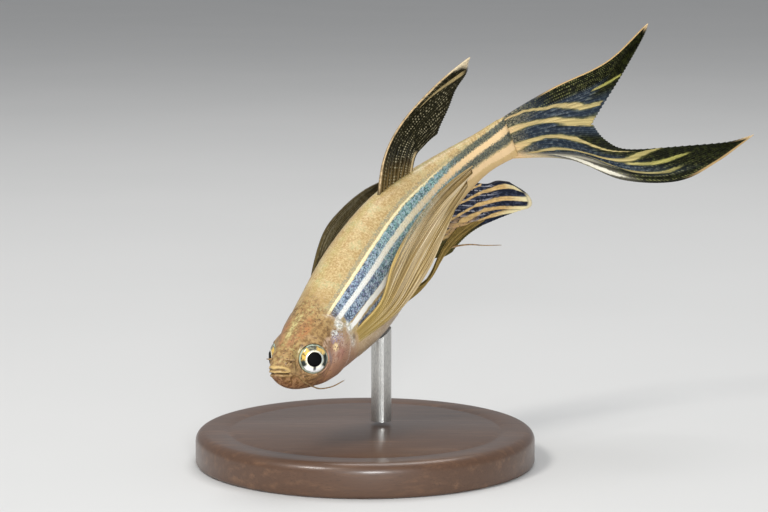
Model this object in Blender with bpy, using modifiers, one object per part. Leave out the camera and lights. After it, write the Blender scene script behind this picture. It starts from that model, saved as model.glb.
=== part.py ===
"""Zebra danio of the long-finned form: a still, life-size model on a small display stand.

Metres, +Z up. The origin is the middle of the stand's underside. The fish is drawn in its
own frame, in millimetres: s runs along the body's middle line from the snout to the tail, y
points to the fish's right and z to its back. The middle line is straight as far as the
gills and then bends to the fish's left, and the caudal fin carries the bend on.
"""
import math

import bmesh
import bpy
from mathutils import Matrix, Vector

MM = 0.001
GAP = 0.3  # between pieces that meet

# Driving dimensions of the fish, millimetres and degrees
BODY_LENGTH = 37.0  # where the middle line reaches the root of the caudal fin
BEND_START = 9.0
BEND_TERMS = (-0.10, -0.313, -0.299)  # heading, radians, in powers of the way to the tail's root
FIN_BEND = -2.2  # further turn of the caudal fin, degrees for each millimetre
HEADING = 59.3
DIVE = 32.7
ROLL = -4.5
MIDDLE = 18.0  # the point of the middle line that the pose is set by
MIDDLE_PLACE = (0.5, 1.5, 18.0)  # where that point stands over the base

# Body profiles: station, back, belly, half width
STATIONS = (
    (0.6, 1.83, 1.07, 0.30),
    (0.96, 2.23, 0.05, 0.80),
    (1.6, 2.45, -0.85, 1.14),
    (2.5, 2.68, -1.68, 1.55),
    (3.8, 2.90, -2.57, 1.95),
    (6.0, 3.13, -3.56, 2.30),
    (9.0, 3.52, -4.60, 2.56),
    (14.0, 4.15, -5.80, 2.85),
    (18.0, 4.35, -5.90, 2.70),
    (21.5, 4.25, -5.30, 2.42),
    (24.0, 3.85, -4.60, 2.12),
    (28.0, 3.00, -3.20, 1.55),
    (31.5, 2.40, -2.40, 1.10),
    (34.0, 2.10, -2.10, 0.85),
    (37.0, 2.20, -2.30, 0.60),
)
SNOUT = STATIONS[0][0]
WIDEST = 0.56  # height of the widest level, as a share from belly to back
BODY_SIDES = 36
TAIL_START = 28.5
EDGE_RINGS = 0.4  # spacing of the head's rings

# Head lines, as (s, z)
MOUTH_LINE = ((-1.5, 2.10), (0.55, 1.68), (0.9, 1.38), (1.45, 1.0))
JAW_LINE = ((2.4, -0.5), (3.3, -1.7), (3.8, -3.6))
GILL_SLIT = ((6.4, 6.0), (7.1, 3.4), (8.0, 1.9), (8.6, 0.4), (8.5, -1.2), (7.8, -2.7), (6.7, -3.7), (5.6, -6.0))
COVER_FRONT = ((5.75, -3.1), (5.45, -1.6), (5.45, 0.2), (5.9, 1.6), (7.2, 2.2))
COVER_THICK = 0.55
COVER_PROUD = 0.12
LIP_RADIUS = 0.2
NOSTRIL = (1.98, 1.08, 0.2)  # s, y, radius

EYE_PLACE = (3.84, 1.735, 0.71)
EYE_RADIUS = 1.25
EYE_DEPTH = 0.8
EYE_LOOK = (-0.56, 0.74, 0.37)  # where the right eye looks: out, ahead and a little up

BARBEL_ROOT = 0.25
BARBEL_TIP = 0.12

# Fins
FIN_THICK = 0.82  # over a ray
PELVIC_THICK = 0.6
WEB_SHARE = 0.62  # membrane thickness as a share of that
RIM_SHARE = 0.45

# Pectoral fins: distance from the middle near the root, spread behind it, and droop
PECTORAL_SET = {"left": (3.9, 1.0, 0.0), "right": (3.7, 0.2, 0.13)}

# Stand
BASE_RADIUS = 15.0
BASE_HEIGHT = 3.0
BASE_ROUND = 0.9
ROD_RADIUS = 0.9
ROD_STATION = 15.2  # where the rod meets the belly

# Material colours, roughness and metallic value
FINISHES = {
    "skin_head": ((0.52, 0.36, 0.24, 1), 0.35, 0.1),
    "skin_body": ((0.36, 0.42, 0.46, 1), 0.3, 0.3),
    "gill_pink": ((0.62, 0.42, 0.38, 1), 0.3, 0.2),
    "eye_silver": ((0.75, 0.76, 0.72, 1), 0.15, 0.6),
    "fin_dark": ((0.08, 0.09, 0.07, 1), 0.4, 0.0),
    "fin_tan": ((0.55, 0.44, 0.25, 1), 0.4, 0.0),
    "base_wood": ((0.11, 0.06, 0.035, 1), 0.4, 0.0),
    "rod_steel": ((0.6, 0.6, 0.58, 1), 0.25, 1.0),
}


def clear_scene():
    for item in list(bpy.data.objects):
        bpy.data.objects.remove(item, do_unlink=True)


def new_collection(name):
    collection = bpy.data.collections.new(name)
    bpy.context.scene.collection.children.link(collection)
    return collection


def new_material(name):
    colour, roughness, metallic = FINISHES[name]
    material = bpy.data.materials.new(name)
    material.use_nodes = True
    shader = material.node_tree.nodes["Principled BSDF"]
    shader.inputs["Base Color"].default_value = colour
    shader.inputs["Roughness"].default_value = roughness
    shader.inputs["Metallic"].default_value = metallic
    material.diffuse_color = colour
    return material


# Curves through given points

def blend_points(points, t):
    """Catmull-Rom curve through equally spaced points, t from 0 to 1."""
    last = len(points) - 1
    place = min(max(t, 0.0), 1.0) * last
    k = min(int(place), last - 1)
    f = place - k
    p1, p2 = Vector(points[k]), Vector(points[k + 1])
    p0 = Vector(points[k - 1]) if k > 0 else p1 * 2 - p2
    p3 = Vector(points[k + 2]) if k + 2 <= last else p2 * 2 - p1
    a = p1 * 2
    b = p2 - p0
    c = p0 * 2 - p1 * 5 + p2 * 4 - p3
    d = p1 * 3 - p0 - p2 * 3 + p3
    return (a + b * f + c * f * f + d * f * f * f) / 2


def profile(s):
    """Back, belly and half width at station s, along a smooth line."""
    rows = STATIONS
    s = min(max(s, rows[0][0]), rows[-1][0])
    k = max(i for i in range(len(rows) - 1) if rows[i][0] <= s)
    left, right = rows[k], rows[k + 1]
    f = (s - left[0]) / (right[0] - left[0])

    def slope(i, column):
        i0, i1 = max(i - 1, 0), min(i + 1, len(rows) - 1)
        return (rows[i1][column] - rows[i0][column]) / (rows[i1][0] - rows[i0][0])

    out = []
    for column in (1, 2, 3):
        width = right[0] - left[0]
        m0, m1 = slope(k, column) * width, slope(k + 1, column) * width
        h = 2 * f ** 3 - 3 * f ** 2 + 1
        value = left[column] * h + m0 * (f ** 3 - 2 * f ** 2 + f)
        value += right[column] * (1 - h) + m1 * (f ** 3 - f ** 2)
        out.append(value)
    return out


# The bent frame of the fish

def heading(s):
    way = max(s - BEND_START, 0.0) / (BODY_LENGTH - BEND_START)
    turn = sum(term * min(way, 1.0) ** (n + 1) for n, term in enumerate(BEND_TERMS))
    return turn + math.radians(FIN_BEND) * max(s - BODY_LENGTH, 0.0)


AXIS_STEP = 0.1
AXIS_END = 62.0


def axis_table():
    points = [Vector((0.0, 0.0))]
    for k in range(int(AXIS_END / AXIS_STEP)):
        turn = heading((k + 0.5) * AXIS_STEP)
        points.append(points[-1] + Vector((math.cos(turn), math.sin(turn))) * AXIS_STEP)
    return points


AXIS = axis_table()


def place(s, y, z):
    """Metres in the fish's straight frame, from a place on the bent body."""
    k = min(max(s, 0.0) / AXIS_STEP, len(AXIS) - 1.001)
    low = int(k)
    middle = AXIS[low].lerp(AXIS[low + 1], k - low)
    if s < 0:
        middle = Vector((s, 0.0))
    turn = heading(s)
    x = middle.x - math.sin(turn) * y
    side = middle.y + math.cos(turn) * y
    return Vector((x, side, z)) * MM


def section(s, angle, grow=0.0):
    """Point of the body's skin at one station, angle from the right side up to the back."""
    back, belly, half = profile(s)
    level = belly + (back - belly) * WIDEST
    c, n = math.cos(angle), math.sin(angle)
    if n >= 0:
        reach, power = back - level, 0.94
    else:
        reach, power = level - belly, 1.0
    y = (half + grow) * math.copysign(abs(c) ** 0.92, c)
    y *= 1 - (0.10 * n * n if n < 0 else 0.0)
    z = level + (reach + grow) * math.copysign(abs(n) ** power, n)
    return y, z


def skin_width(s, z, grow=0.0):
    """Half width of the skin at height z."""
    back, belly, half = profile(s)
    level = belly + (back - belly) * WIDEST
    low, high = (0.0, math.pi / 2) if z >= level else (-math.pi / 2, 0.0)
    for _ in range(30):
        middle = (low + high) / 2
        if section(s, middle, grow)[1] < z:
            low = middle
        else:
            high = middle
    return section(s, (low + high) / 2, grow)[0]


def skin_top(s, y):
    """Height of the back's skin at a distance y from the middle."""
    low, high = 0.0, math.pi / 2
    for _ in range(30):
        middle = (low + high) / 2
        if section(s, middle)[0] > abs(y):
            low = middle
        else:
            high = middle
    return section(s, (low + high) / 2)[1]


def skin_floor(s, y):
    """Height of the belly's skin at a distance y from the middle."""
    low, high = -math.pi / 2, 0.0
    for _ in range(30):
        middle = (low + high) / 2
        if section(s, middle)[0] < abs(y):
            low = middle
        else:
            high = middle
    return section(s, (low + high) / 2)[1]


# Objects

def add_object(name, mesh_source, finish, collection, parent=None):
    mesh = bpy.data.meshes.new(name)
    mesh_source.to_mesh(mesh)
    mesh_source.free()
    mesh.shade_smooth()
    item = bpy.data.objects.new(name, mesh)
    if finish:
        mesh.materials.append(MATERIALS[finish])
    else:
        item.hide_render = True
        item.display_type = "WIRE"
    collection.objects.link(item)
    item.parent = parent
    return item


def loft_mesh(rings):
    """Closed surface over rings of equal count, flat at both ends."""
    bm = bmesh.new()
    rows = [[bm.verts.new(point) for point in ring] for ring in rings]
    count = len(rows[0])
    for near, far in zip(rows, rows[1:]):
        for i in range(count):
            j = (i + 1) % count
            bm.faces.new((near[i], near[j], far[j], far[i]))
    bm.faces.new(rows[0][::-1])
    bm.faces.new(rows[-1])
    bmesh.ops.recalc_face_normals(bm, faces=bm.faces)
    return bm


def body_mesh(start, end, rings, grow=0.0, sides=BODY_SIDES):
    out = []
    for k in range(rings + 1):
        s = start + (end - start) * k / rings
        angles = [2 * math.pi * i / sides for i in range(sides)]
        out.append([place(s, *section(s, a, grow)) for a in angles])
    return loft_mesh(out)


def block_mesh(outline, low, high):
    """Straight block over an outline of (s, z) points, from y low to y high."""
    bm = bmesh.new()
    face = bm.faces.new([bm.verts.new(Vector((s, low, z)) * MM) for s, z in outline])
    made = bmesh.ops.extrude_face_region(bm, geom=[face])["geom"]
    moved = [item for item in made if isinstance(item, bmesh.types.BMVert)]
    bmesh.ops.translate(bm, verts=moved, vec=Vector((0, high - low, 0)) * MM)
    bmesh.ops.recalc_face_normals(bm, faces=bm.faces)
    return bm


def shift_line(line, distance):
    """The line moved sideways, to its left as it runs."""
    out = []
    for k, point in enumerate(line):
        before = Vector(line[max(k - 1, 0)])
        after = Vector(line[min(k + 1, len(line) - 1)])
        along = (after - before).normalized()
        out.append((point[0] - along.y * distance, point[1] + along.x * distance))
    return out


def boolean(item, other, operation, solver="EXACT"):
    change = item.modifiers.new(operation.lower(), "BOOLEAN")
    change.operation = operation
    change.solver = solver
    change.object = other
    return change


def join_all(item, pieces, solver="EXACT"):
    """Union of a collection of closed meshes with the item, applied."""
    collection = new_collection(item.name + "_pieces")
    for piece in pieces:
        for owner in piece.users_collection:
            owner.objects.unlink(piece)
        collection.objects.link(piece)
    change = item.modifiers.new("join", "BOOLEAN")
    change.operation = "UNION"
    change.solver = solver
    change.operand_type = "COLLECTION"
    change.collection = collection
    apply_modifiers(item)
    for piece in pieces:
        bpy.data.objects.remove(piece, do_unlink=True)
    bpy.data.collections.remove(collection)


def apply_modifiers(item):
    graph = bpy.context.evaluated_depsgraph_get()
    mesh = bpy.data.meshes.new_from_object(item.evaluated_get(graph))
    item.modifiers.clear()
    item.data = mesh


def keep_largest(item):
    """Only the largest closed surface stays."""
    bm = bmesh.new()
    bm.from_mesh(item.data)
    left = set(bm.verts)
    groups = []
    while left:
        start = left.pop()
        group, queue = {start}, [start]
        while queue:
            for edge in queue.pop().link_edges:
                for vert in edge.verts:
                    if vert in left:
                        left.discard(vert)
                        group.add(vert)
                        queue.append(vert)
        groups.append(group)
    groups.sort(key=len)
    for group in groups[:-1]:
        bmesh.ops.delete(bm, geom=list(group), context="VERTS")
    bm.to_mesh(item.data)
    bm.free()


def remove_all(items):
    for item in items:
        bpy.data.objects.remove(item, do_unlink=True)


def tube_object(name, points, radii, finish, sides_level=2, cyclic=False):
    """Mesh tube along points, from a bevelled curve with filled caps."""
    curve = bpy.data.curves.new(name, "CURVE")
    curve.dimensions = "3D"
    curve.bevel_depth = MM
    curve.bevel_resolution = sides_level
    curve.use_fill_caps = True
    spline = curve.splines.new("POLY")
    spline.points.add(len(points) - 1)
    spline.use_cyclic_u = cyclic
    for knot, point, radius in zip(spline.points, points, radii):
        knot.co = (*point, 1)
        knot.radius = radius
    carrier = bpy.data.objects.new(name + "_curve", curve)
    TOOLS.objects.link(carrier)
    graph = bpy.context.evaluated_depsgraph_get()
    mesh = bpy.data.meshes.new_from_object(carrier.evaluated_get(graph))
    bm = bmesh.new()
    bm.from_mesh(mesh)
    bmesh.ops.remove_doubles(bm, verts=bm.verts, dist=0.00001)
    bmesh.ops.recalc_face_normals(bm, faces=bm.faces)
    bpy.data.objects.remove(carrier, do_unlink=True)
    return add_object(name, bm, finish, FISH, FISH_POSE)


# Head

def head_region(margin=0.0):
    """Outline of all that lies before the gill slit, with a margin behind it."""
    slit = shift_line(GILL_SLIT, margin)
    return [*slit, (-4.0, -6.0), (-4.0, 6.0)]


def jaw_region(margin=0.0):
    """Outline of all that lies under the mouth and before the jaw line."""
    line = shift_line((*MOUTH_LINE, *JAW_LINE), margin)
    return [*line, (3.0, -6.0), (-1.5, -6.0)]


def cover_region(margin=0.0):
    """Outline of the gill cover, open to the rear."""
    front = shift_line(COVER_FRONT, margin)
    return [(9.6 + margin, -3.4 - margin), *front, (9.6 + margin, 2.4 + margin)]


def cutter(name, mesh_source):
    return add_object(name, mesh_source, None, TOOLS, FISH_POSE)


def mouth_point(way, side, lift):
    """Point of the head's skin on the mouth line, 0 in front and 1 at the corner."""
    front, corner = MOUTH_LINE[1][0], MOUTH_LINE[3][0]
    s = front + 0.12 + (corner - front - 0.1) * way
    z = blend_points(MOUTH_LINE[1:], way)[1]
    width = skin_width(s, z)
    return place(s, side * width, z + lift)


def lip(name, lift, finish):
    steps = 9
    left = [mouth_point(k / steps, -1, lift) for k in range(steps, -1, -1)]
    right = [mouth_point(k / steps, 1, lift) for k in range(0, steps + 1)]
    points = left + right
    count = len(points) - 1
    radii = [LIP_RADIUS * (0.55 + 0.45 * math.sin(math.pi * k / count)) for k in range(count + 1)]
    return tube_object(name, points, radii, finish)


def eye_mesh(side, grow=0.0):
    bm = bmesh.new()
    bmesh.ops.create_uvsphere(bm, u_segments=24, v_segments=12, radius=1.0)
    size = Matrix.Diagonal((EYE_RADIUS + grow, EYE_RADIUS + grow, EYE_DEPTH + grow, 1))
    gaze = Vector((EYE_LOOK[0], side * EYE_LOOK[1], EYE_LOOK[2]))
    look = gaze.to_track_quat("Z", "Y").to_matrix().to_4x4()
    s, y, z = EYE_PLACE
    spot = Matrix.Translation(Vector((s, side * y, z)) * MM)
    bmesh.ops.transform(bm, matrix=spot @ look @ Matrix.Scale(MM, 4) @ size, verts=bm.verts)
    return bm


def nostril_mesh(side):
    s, y, radius = NOSTRIL
    z = skin_top(s, y)
    bm = bmesh.new()
    bmesh.ops.create_uvsphere(bm, u_segments=10, v_segments=8, radius=radius * MM)
    bmesh.ops.translate(bm, verts=bm.verts, vec=Vector((s, side * y, z)) * MM)
    return bm


def make_head():
    rings = int((9.6 - SNOUT) / EDGE_RINGS)
    head = add_object("head", body_mesh(SNOUT, 9.6, rings), "skin_head", FISH, FISH_POSE)
    jaw = add_object("lower_jaw", body_mesh(SNOUT, 4.8, 12), "skin_head", FISH, FISH_POSE)
    region = cutter("head_region_tool", block_mesh(head_region(), -6, 6))
    mouth = cutter("mouth_tool", block_mesh(jaw_region(GAP), -6, 6))
    chin = cutter("chin_tool", block_mesh(jaw_region(), -6, 6))
    tools = [region, mouth, chin]
    boolean(head, region, "INTERSECT")
    boolean(head, mouth, "DIFFERENCE")
    boolean(jaw, chin, "INTERSECT")
    sides = {"left": -1, "right": 1}
    covers = []
    for word, side in sides.items():
        low, high = sorted((side * 0.4, side * 6))
        name = "gill_cover_" + word
        cover = add_object(name, body_mesh(4.4, 9.6, 13, COVER_PROUD), "gill_pink", FISH, FISH_POSE)
        plate = cutter(name + "_tool", block_mesh(cover_region(), low, high))
        inner = cutter(name + "_inner", body_mesh(3.5, 10.5, 14, -COVER_THICK))
        recess = cutter(name + "_recess", block_mesh(cover_region(GAP), low, high))
        deeper = cutter(name + "_deeper", body_mesh(3.5, 10.5, 14, -COVER_THICK - GAP))
        boolean(cover, plate, "INTERSECT")
        boolean(cover, region, "INTERSECT")
        boolean(cover, inner, "DIFFERENCE")
        boolean(recess, deeper, "DIFFERENCE")
        boolean(head, recess, "DIFFERENCE")
        socket = cutter("socket_" + word, eye_mesh(side, GAP))
        boolean(head, socket, "DIFFERENCE")
        pit = cutter("nostril_" + word, nostril_mesh(side))
        boolean(head, pit, "DIFFERENCE")
        covers.append(cover)
        tools += [plate, inner, recess, deeper, socket, pit]
        add_object("eye_" + word, eye_mesh(side), "eye_silver", FISH, FISH_POSE)
    for item in (jaw, *covers, head):
        apply_modifiers(item)
    join_all(head, [lip("upper_lip", LIP_RADIUS * 0.7 + GAP, "skin_head")])
    join_all(jaw, [lip("lower_lip", -LIP_RADIUS * 0.7, "skin_head")])
    for item in (jaw, *covers, head):
        keep_largest(item)
        tidy_mesh(item)
    remove_all(tools)


def tidy_mesh(item):
    """Merges the crumbs that cutting leaves and shades the piece smooth."""
    bm = bmesh.new()
    bm.from_mesh(item.data)
    bmesh.ops.dissolve_degenerate(bm, dist=0.000005, edges=bm.edges)
    bmesh.ops.triangulate(bm, faces=bm.faces)
    bm.to_mesh(item.data)
    bm.free()
    item.data.shade_smooth()


# Barbels

def barbel(name, points, finish):
    steps = 12
    line = [place(*blend_points(points, k / steps)) for k in range(steps + 1)]
    radii = [BARBEL_ROOT + (BARBEL_TIP - BARBEL_ROOT) * k / steps for k in range(steps + 1)]
    return tube_object(name, line, radii, finish)


CHIN_BARBELS = {
    "left": ((1.45, 1.62, 0.85), (1.8, 1.6, -0.25), (2.5, 1.54, -1.3), (4.0, 1.24, -2.87),
             (5.4, 1.1, -3.9), (6.9, 1.15, -4.55)),
    "right": ((1.45, 1.62, 0.85), (2.1, 1.95, 0.1), (3.0, 2.2, -0.9), (4.2, 2.45, -1.75), (5.7, 2.45, -2.7)),
}


def make_barbels():
    """The chin pair, one swept under the jaw and one along the cheek, and the short nose pair."""
    for word, side in (("left", -1), ("right", 1)):
        chin = [(s, side * y, z) for s, y, z in CHIN_BARBELS[word]]
        barbel("barbel_chin_" + word, chin, "skin_head")
        line = ((1.5, 2.05, 0.42), (1.55, 1.98, 0.6), (1.65, 1.88, 0.75), (1.8, 1.75, 0.85))
        nose = [(s, side * (skin_width(s, z) + out), z) for s, z, out in line]
        barbel("barbel_nose_" + word, nose, "skin_head")


# Trunk and tail

def make_body():
    trunk = add_object("trunk", body_mesh(5.0, TAIL_START, 28), "skin_body", FISH, FISH_POSE)
    tool = cutter("gill_slit_tool", block_mesh(head_region(GAP), -6, 6))
    boolean(trunk, tool, "DIFFERENCE")
    apply_modifiers(trunk)
    keep_largest(trunk)
    tidy_mesh(trunk)
    remove_all([tool])
    start = TAIL_START + GAP
    add_object("tail", body_mesh(start, BODY_LENGTH, 12), "skin_body", FISH, FISH_POSE)


# Fins

def fin_point(lines, u, v):
    """Point on a fin: u goes across its control rays, v from root to tip along them."""
    along = [blend_points(line, v) for share, line in lines]
    shares = [share for share, line in lines]
    k = max(i for i in range(len(shares) - 1) if shares[i] <= u + 1e-9)
    f = (u - shares[k]) / (shares[k + 1] - shares[k])
    first = along[k - 1] if k > 0 else along[k] * 2 - along[k + 1]
    last = along[k + 2] if k + 2 < len(along) else along[k + 1] * 2 - along[k]
    step0 = (along[k + 1] - first) / 2
    step1 = (last - along[k]) / 2
    h = 2 * f ** 3 - 3 * f ** 2 + 1
    bend = step0 * (f ** 3 - 2 * f ** 2 + f) + step1 * (f ** 3 - f ** 2)
    return along[k] * h + along[k + 1] * (1 - h) + bend


def make_fin(name, lines, rays, rows, finish, straight=False, thick=FIN_THICK):
    """A membrane whose rays stand out as ridges on both faces."""
    columns = 2 * rays - 2
    bm = bmesh.new()
    bmesh.ops.create_grid(bm, x_segments=columns, y_segments=rows, size=0.5)
    bm.verts.ensure_lookup_table()
    weights = []
    for vert in bm.verts:
        u, v = vert.co.x + 0.5, vert.co.y + 0.5
        point = fin_point(lines, u, v)
        vert.co = Vector(point) * MM if straight else place(*point)
        on_ray = round(u * columns) % 2 == 0
        weight = 1.0 if on_ray else WEB_SHARE
        weights.append(weight * (1 - (1 - RIM_SHARE) * v ** 3))
    bmesh.ops.triangulate(bm, faces=bm.faces)
    item = add_object(name, bm, finish, FISH, FISH_POSE)
    group = item.vertex_groups.new(name="thickness")
    for index, weight in enumerate(weights):
        group.add([index], weight, "REPLACE")
    solid = item.modifiers.new("thickness", "SOLIDIFY")
    solid.thickness = thick * MM
    solid.offset = 0.0
    solid.vertex_group = group.name
    return item


def back_edge(s):
    return profile(s)[0] + GAP


def belly_edge(s):
    return profile(s)[1] - GAP


def make_median_fins():
    root = BODY_LENGTH + GAP
    flat = lambda pairs: [(s, 0.0, z) for s, z in pairs]
    upper = [
        (0.0, flat([(root, 2.15), (42, 2.6), (47.5, 3.4), (52.3, 6.2)])),
        (0.25, flat([(root, 1.7), (42, 1.9), (47, 2.4), (51.4, 4.8)])),
        (0.62, flat([(root, 0.95), (41.5, 0.8), (45.5, 0.9), (48.4, 1.6)])),
        (1.0, flat([(root, 0.15), (39.7, -0.45), (42, -1.2), (44.6, -2.3)])),
    ]
    make_fin("caudal_fin_upper", upper, 10, 12, "fin_dark")
    lower = [
        (0.0, flat([(root, -0.2), (39.7, -0.85), (42, -1.65), (44.4, -2.7)])),
        (0.2, flat([(root, -0.6), (39.7, -1.6), (42.3, -3.25), (45.0, -4.6)])),
        (0.4, flat([(root, -1.0), (40.45, -2.8), (43.6, -5.35), (46.6, -6.2)])),
        (0.6, flat([(root, -1.5), (41.05, -3.9), (45.55, -6.9), (50.8, -7.3)])),
        (0.8, flat([(root, -1.9), (41.55, -4.6), (47.6, -9.0), (55.6, -7.8)])),
        (1.0, flat([(root, -2.25), (41.2, -5.1), (45.2, -9.3), (50, -11.1), (54.2, -9.8), (58.6, -7.1)])),
    ]
    make_fin("caudal_fin_lower", lower, 10, 12, "fin_dark")
    dorsal = [
        (0.0, flat([(21.4, back_edge(21.4)), (23.9, 6.4), (27.0, 7.9), (31.3, 8.7), (36.2, 9.3)])),
        (0.33, flat([(22.9, back_edge(22.9)), (25.5, 6.4), (29.3, 7.5), (35.2, 8.1)])),
        (0.66, flat([(24.6, back_edge(24.6)), (26.9, 5.4), (29.5, 6.1), (33.0, 6.6)])),
        (1.0, flat([(26.1, back_edge(26.1)), (27.4, 4.3), (28.8, 4.5), (30.4, 4.5)])),
    ]
    make_fin("dorsal_fin", dorsal, 10, 10, "fin_dark")
    anal = [
        (0.0, flat([(23.7, belly_edge(23.7)), (25.2, -5.8), (27.0, -6.5)])),
        (0.25, flat([(25.4, belly_edge(25.4)), (27.6, -5.6), (30.4, -6.3)])),
        (0.5, flat([(27.4, belly_edge(27.4)), (30.0, -5.0), (32.6, -6.2), (34.6, -7.5)])),
        (0.62, flat([(28.6, belly_edge(28.6)), (31.0, -4.6), (33.8, -6.1), (36.2, -7.8)])),
        (0.8, flat([(30.1, belly_edge(30.1)), (32.3, -4.0), (34.4, -5.0), (36.4, -6.5)])),
        (1.0, flat([(31.8, belly_edge(31.8)), (33.0, -3.0), (34.1, -3.4), (35.2, -4.3)])),
    ]
    make_fin("anal_fin", anal, 14, 9, "fin_dark")


def side_root(s, z, side, out=0.0):
    return (s, side * (skin_width(s, z) + GAP + out), z)


def belly_root(s, y, side):
    return (s, side * y, skin_floor(s, y) - GAP - PELVIC_THICK / 2)


def make_paired_fins():
    for word, side in (("left", -1), ("right", 1)):
        near, spread, droop = PECTORAL_SET[word]

        def line(root, points):
            rest = [(s, side * (near + (y - 3.9) * spread), z - droop * max(s - MIDDLE, 0)) for s, y, z in points]
            return [root, *rest]

        pectoral = [
            (0.0, line(side_root(9.3, -1.1, side, 0.25), [(12.4, 3.9, -0.2), (15.3, 4.4, 1.7), (18.5, 5.0, 2.9),
                                                    (22.0, 5.3, 3.1), (25.6, 5.6, 2.6), (29.3, 5.8, 1.5)])),
            (0.5, line(side_root(9.4, -1.75, side, 0.25), [(13.0, 4.0, -1.2), (18.0, 5.0, 0.5), (23.0, 5.5, 1.2),
                                                     (28.0, 5.8, 1.1)])),
            (1.0, line(side_root(9.4, -2.4, side, 0.25), [(13.6, 4.1, -2.4), (18.0, 4.9, -1.9), (22.0, 5.3, -0.8),
                                                    (26.2, 5.6, 0.4)])),
        ]
        make_fin("pectoral_fin_" + word, pectoral, 12, 12, "fin_tan", straight=True)
        pelvic = [
            (0.0, [belly_root(18.0, 0.6, side), (21.2, side * 1.0, -5.85), (24.5, side * 1.1, -5.15),
                   (28, side * 1.05, -5.15), (31.0, side * 1.05, -5.5)]),
            (0.5, [belly_root(18.3, 1.15, side), (21.8, side * 1.55, -5.35), (26, side * 1.4, -4.55),
                   (29.8, side * 1.25, -4.75)]),
            (1.0, [belly_root(18.6, 1.7, side), (21.3, side * 1.95, -4.85), (24.5, side * 1.65, -4.05),
                   (27.5, side * 1.45, -3.75)]),
        ]
        make_fin("pelvic_fin_" + word, pelvic, 6, 8, "fin_tan", thick=PELVIC_THICK)


# Stand

def make_base():
    """A turned disc: half its outline, swept round."""
    outline = [(0.0, BASE_HEIGHT)]
    corner_steps = 5
    for k in range(corner_steps + 1):
        turn = math.pi / 2 * k / corner_steps
        x = BASE_RADIUS - BASE_ROUND + BASE_ROUND * math.sin(turn)
        outline.append((x, BASE_HEIGHT - BASE_ROUND + BASE_ROUND * math.cos(turn)))
    outline += [(BASE_RADIUS, 0.3), (BASE_RADIUS - 0.3, 0.0), (0.0, 0.0)]
    bm = bmesh.new()
    knots = [bm.verts.new(Vector((x, 0, z)) * MM) for x, z in outline]
    for a, b in zip(knots, knots[1:]):
        bm.edges.new((a, b))
    base = add_object("stand_base", bm, "base_wood", FISH)
    turn = base.modifiers.new("turned", "SCREW")
    turn.axis = "Z"
    turn.steps = 48
    turn.render_steps = 48
    turn.use_merge_vertices = True
    turn.merge_threshold = 0.00001
    apply_modifiers(base)
    base.data.shade_smooth()
    base.data.set_sharp_from_angle(angle=math.radians(40))
    return base


def make_rod():
    """A steel rod from the base to the belly, its top shaped to the skin."""
    belly = FISH_POSE.matrix_world @ place(ROD_STATION, 0.0, profile(ROD_STATION)[1])
    low = (BASE_HEIGHT + GAP) * MM
    high = belly.z + 3.0 * MM
    bpy.ops.mesh.primitive_cylinder_add(vertices=24, radius=ROD_RADIUS * MM, depth=high - low,
                                        location=(belly.x, belly.y, (low + high) / 2))
    rod = bpy.context.object
    rod.name = "stand_rod"
    rod.data.name = "stand_rod"
    rod.data.materials.append(MATERIALS["rod_steel"])
    for owner in list(rod.users_collection):
        owner.objects.unlink(rod)
    FISH.objects.link(rod)
    fish = cutter("belly_tool", body_mesh(6.0, TAIL_START, 28, GAP))
    boolean(rod, fish, "DIFFERENCE")
    apply_modifiers(rod)
    keep_largest(rod)
    remove_all([fish])
    rod.data.shade_smooth()
    rod.data.set_sharp_from_angle(angle=math.radians(40))
    return rod


clear_scene()
FISH = new_collection("zebra_danio")
TOOLS = new_collection("cutters")
MATERIALS = {name: new_material(name) for name in FINISHES}

FISH_POSE = bpy.data.objects.new("fish_pose", None)
FISH.objects.link(FISH_POSE)
turned = Matrix.Rotation(math.radians(HEADING), 4, "Z") @ Matrix.Rotation(math.radians(-DIVE), 4, "Y")
turned = turned @ Matrix.Rotation(math.radians(ROLL), 4, "X")
FISH_POSE.matrix_world = Matrix.Translation(Vector(MIDDLE_PLACE) * MM) @ turned @ Matrix.Translation(Vector((-MIDDLE, 0, 0)) * MM)
bpy.context.view_layer.update()

make_head()
make_barbels()
make_body()
make_median_fins()
make_paired_fins()
make_base()
make_rod()
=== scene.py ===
"""Looks of the long-finned zebra danio on its display stand.

The fish is drawn in its own frame, in millimetres: s runs from the snout to the tail along a
middle line that bends to the fish's left, y points to its right and z to its back. w is the way
round the body, 0 on the back and 1 on the belly, alike on both sides.
"""
import math

import bmesh
import bpy
import numpy as np
from mathutils import Matrix, Vector


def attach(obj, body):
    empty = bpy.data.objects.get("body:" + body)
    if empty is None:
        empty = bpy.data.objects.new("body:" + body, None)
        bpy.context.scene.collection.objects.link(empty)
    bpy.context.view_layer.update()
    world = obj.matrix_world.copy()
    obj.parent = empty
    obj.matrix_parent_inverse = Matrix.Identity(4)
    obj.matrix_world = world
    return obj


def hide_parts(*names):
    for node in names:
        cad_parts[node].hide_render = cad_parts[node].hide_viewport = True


MM = 0.001

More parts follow.
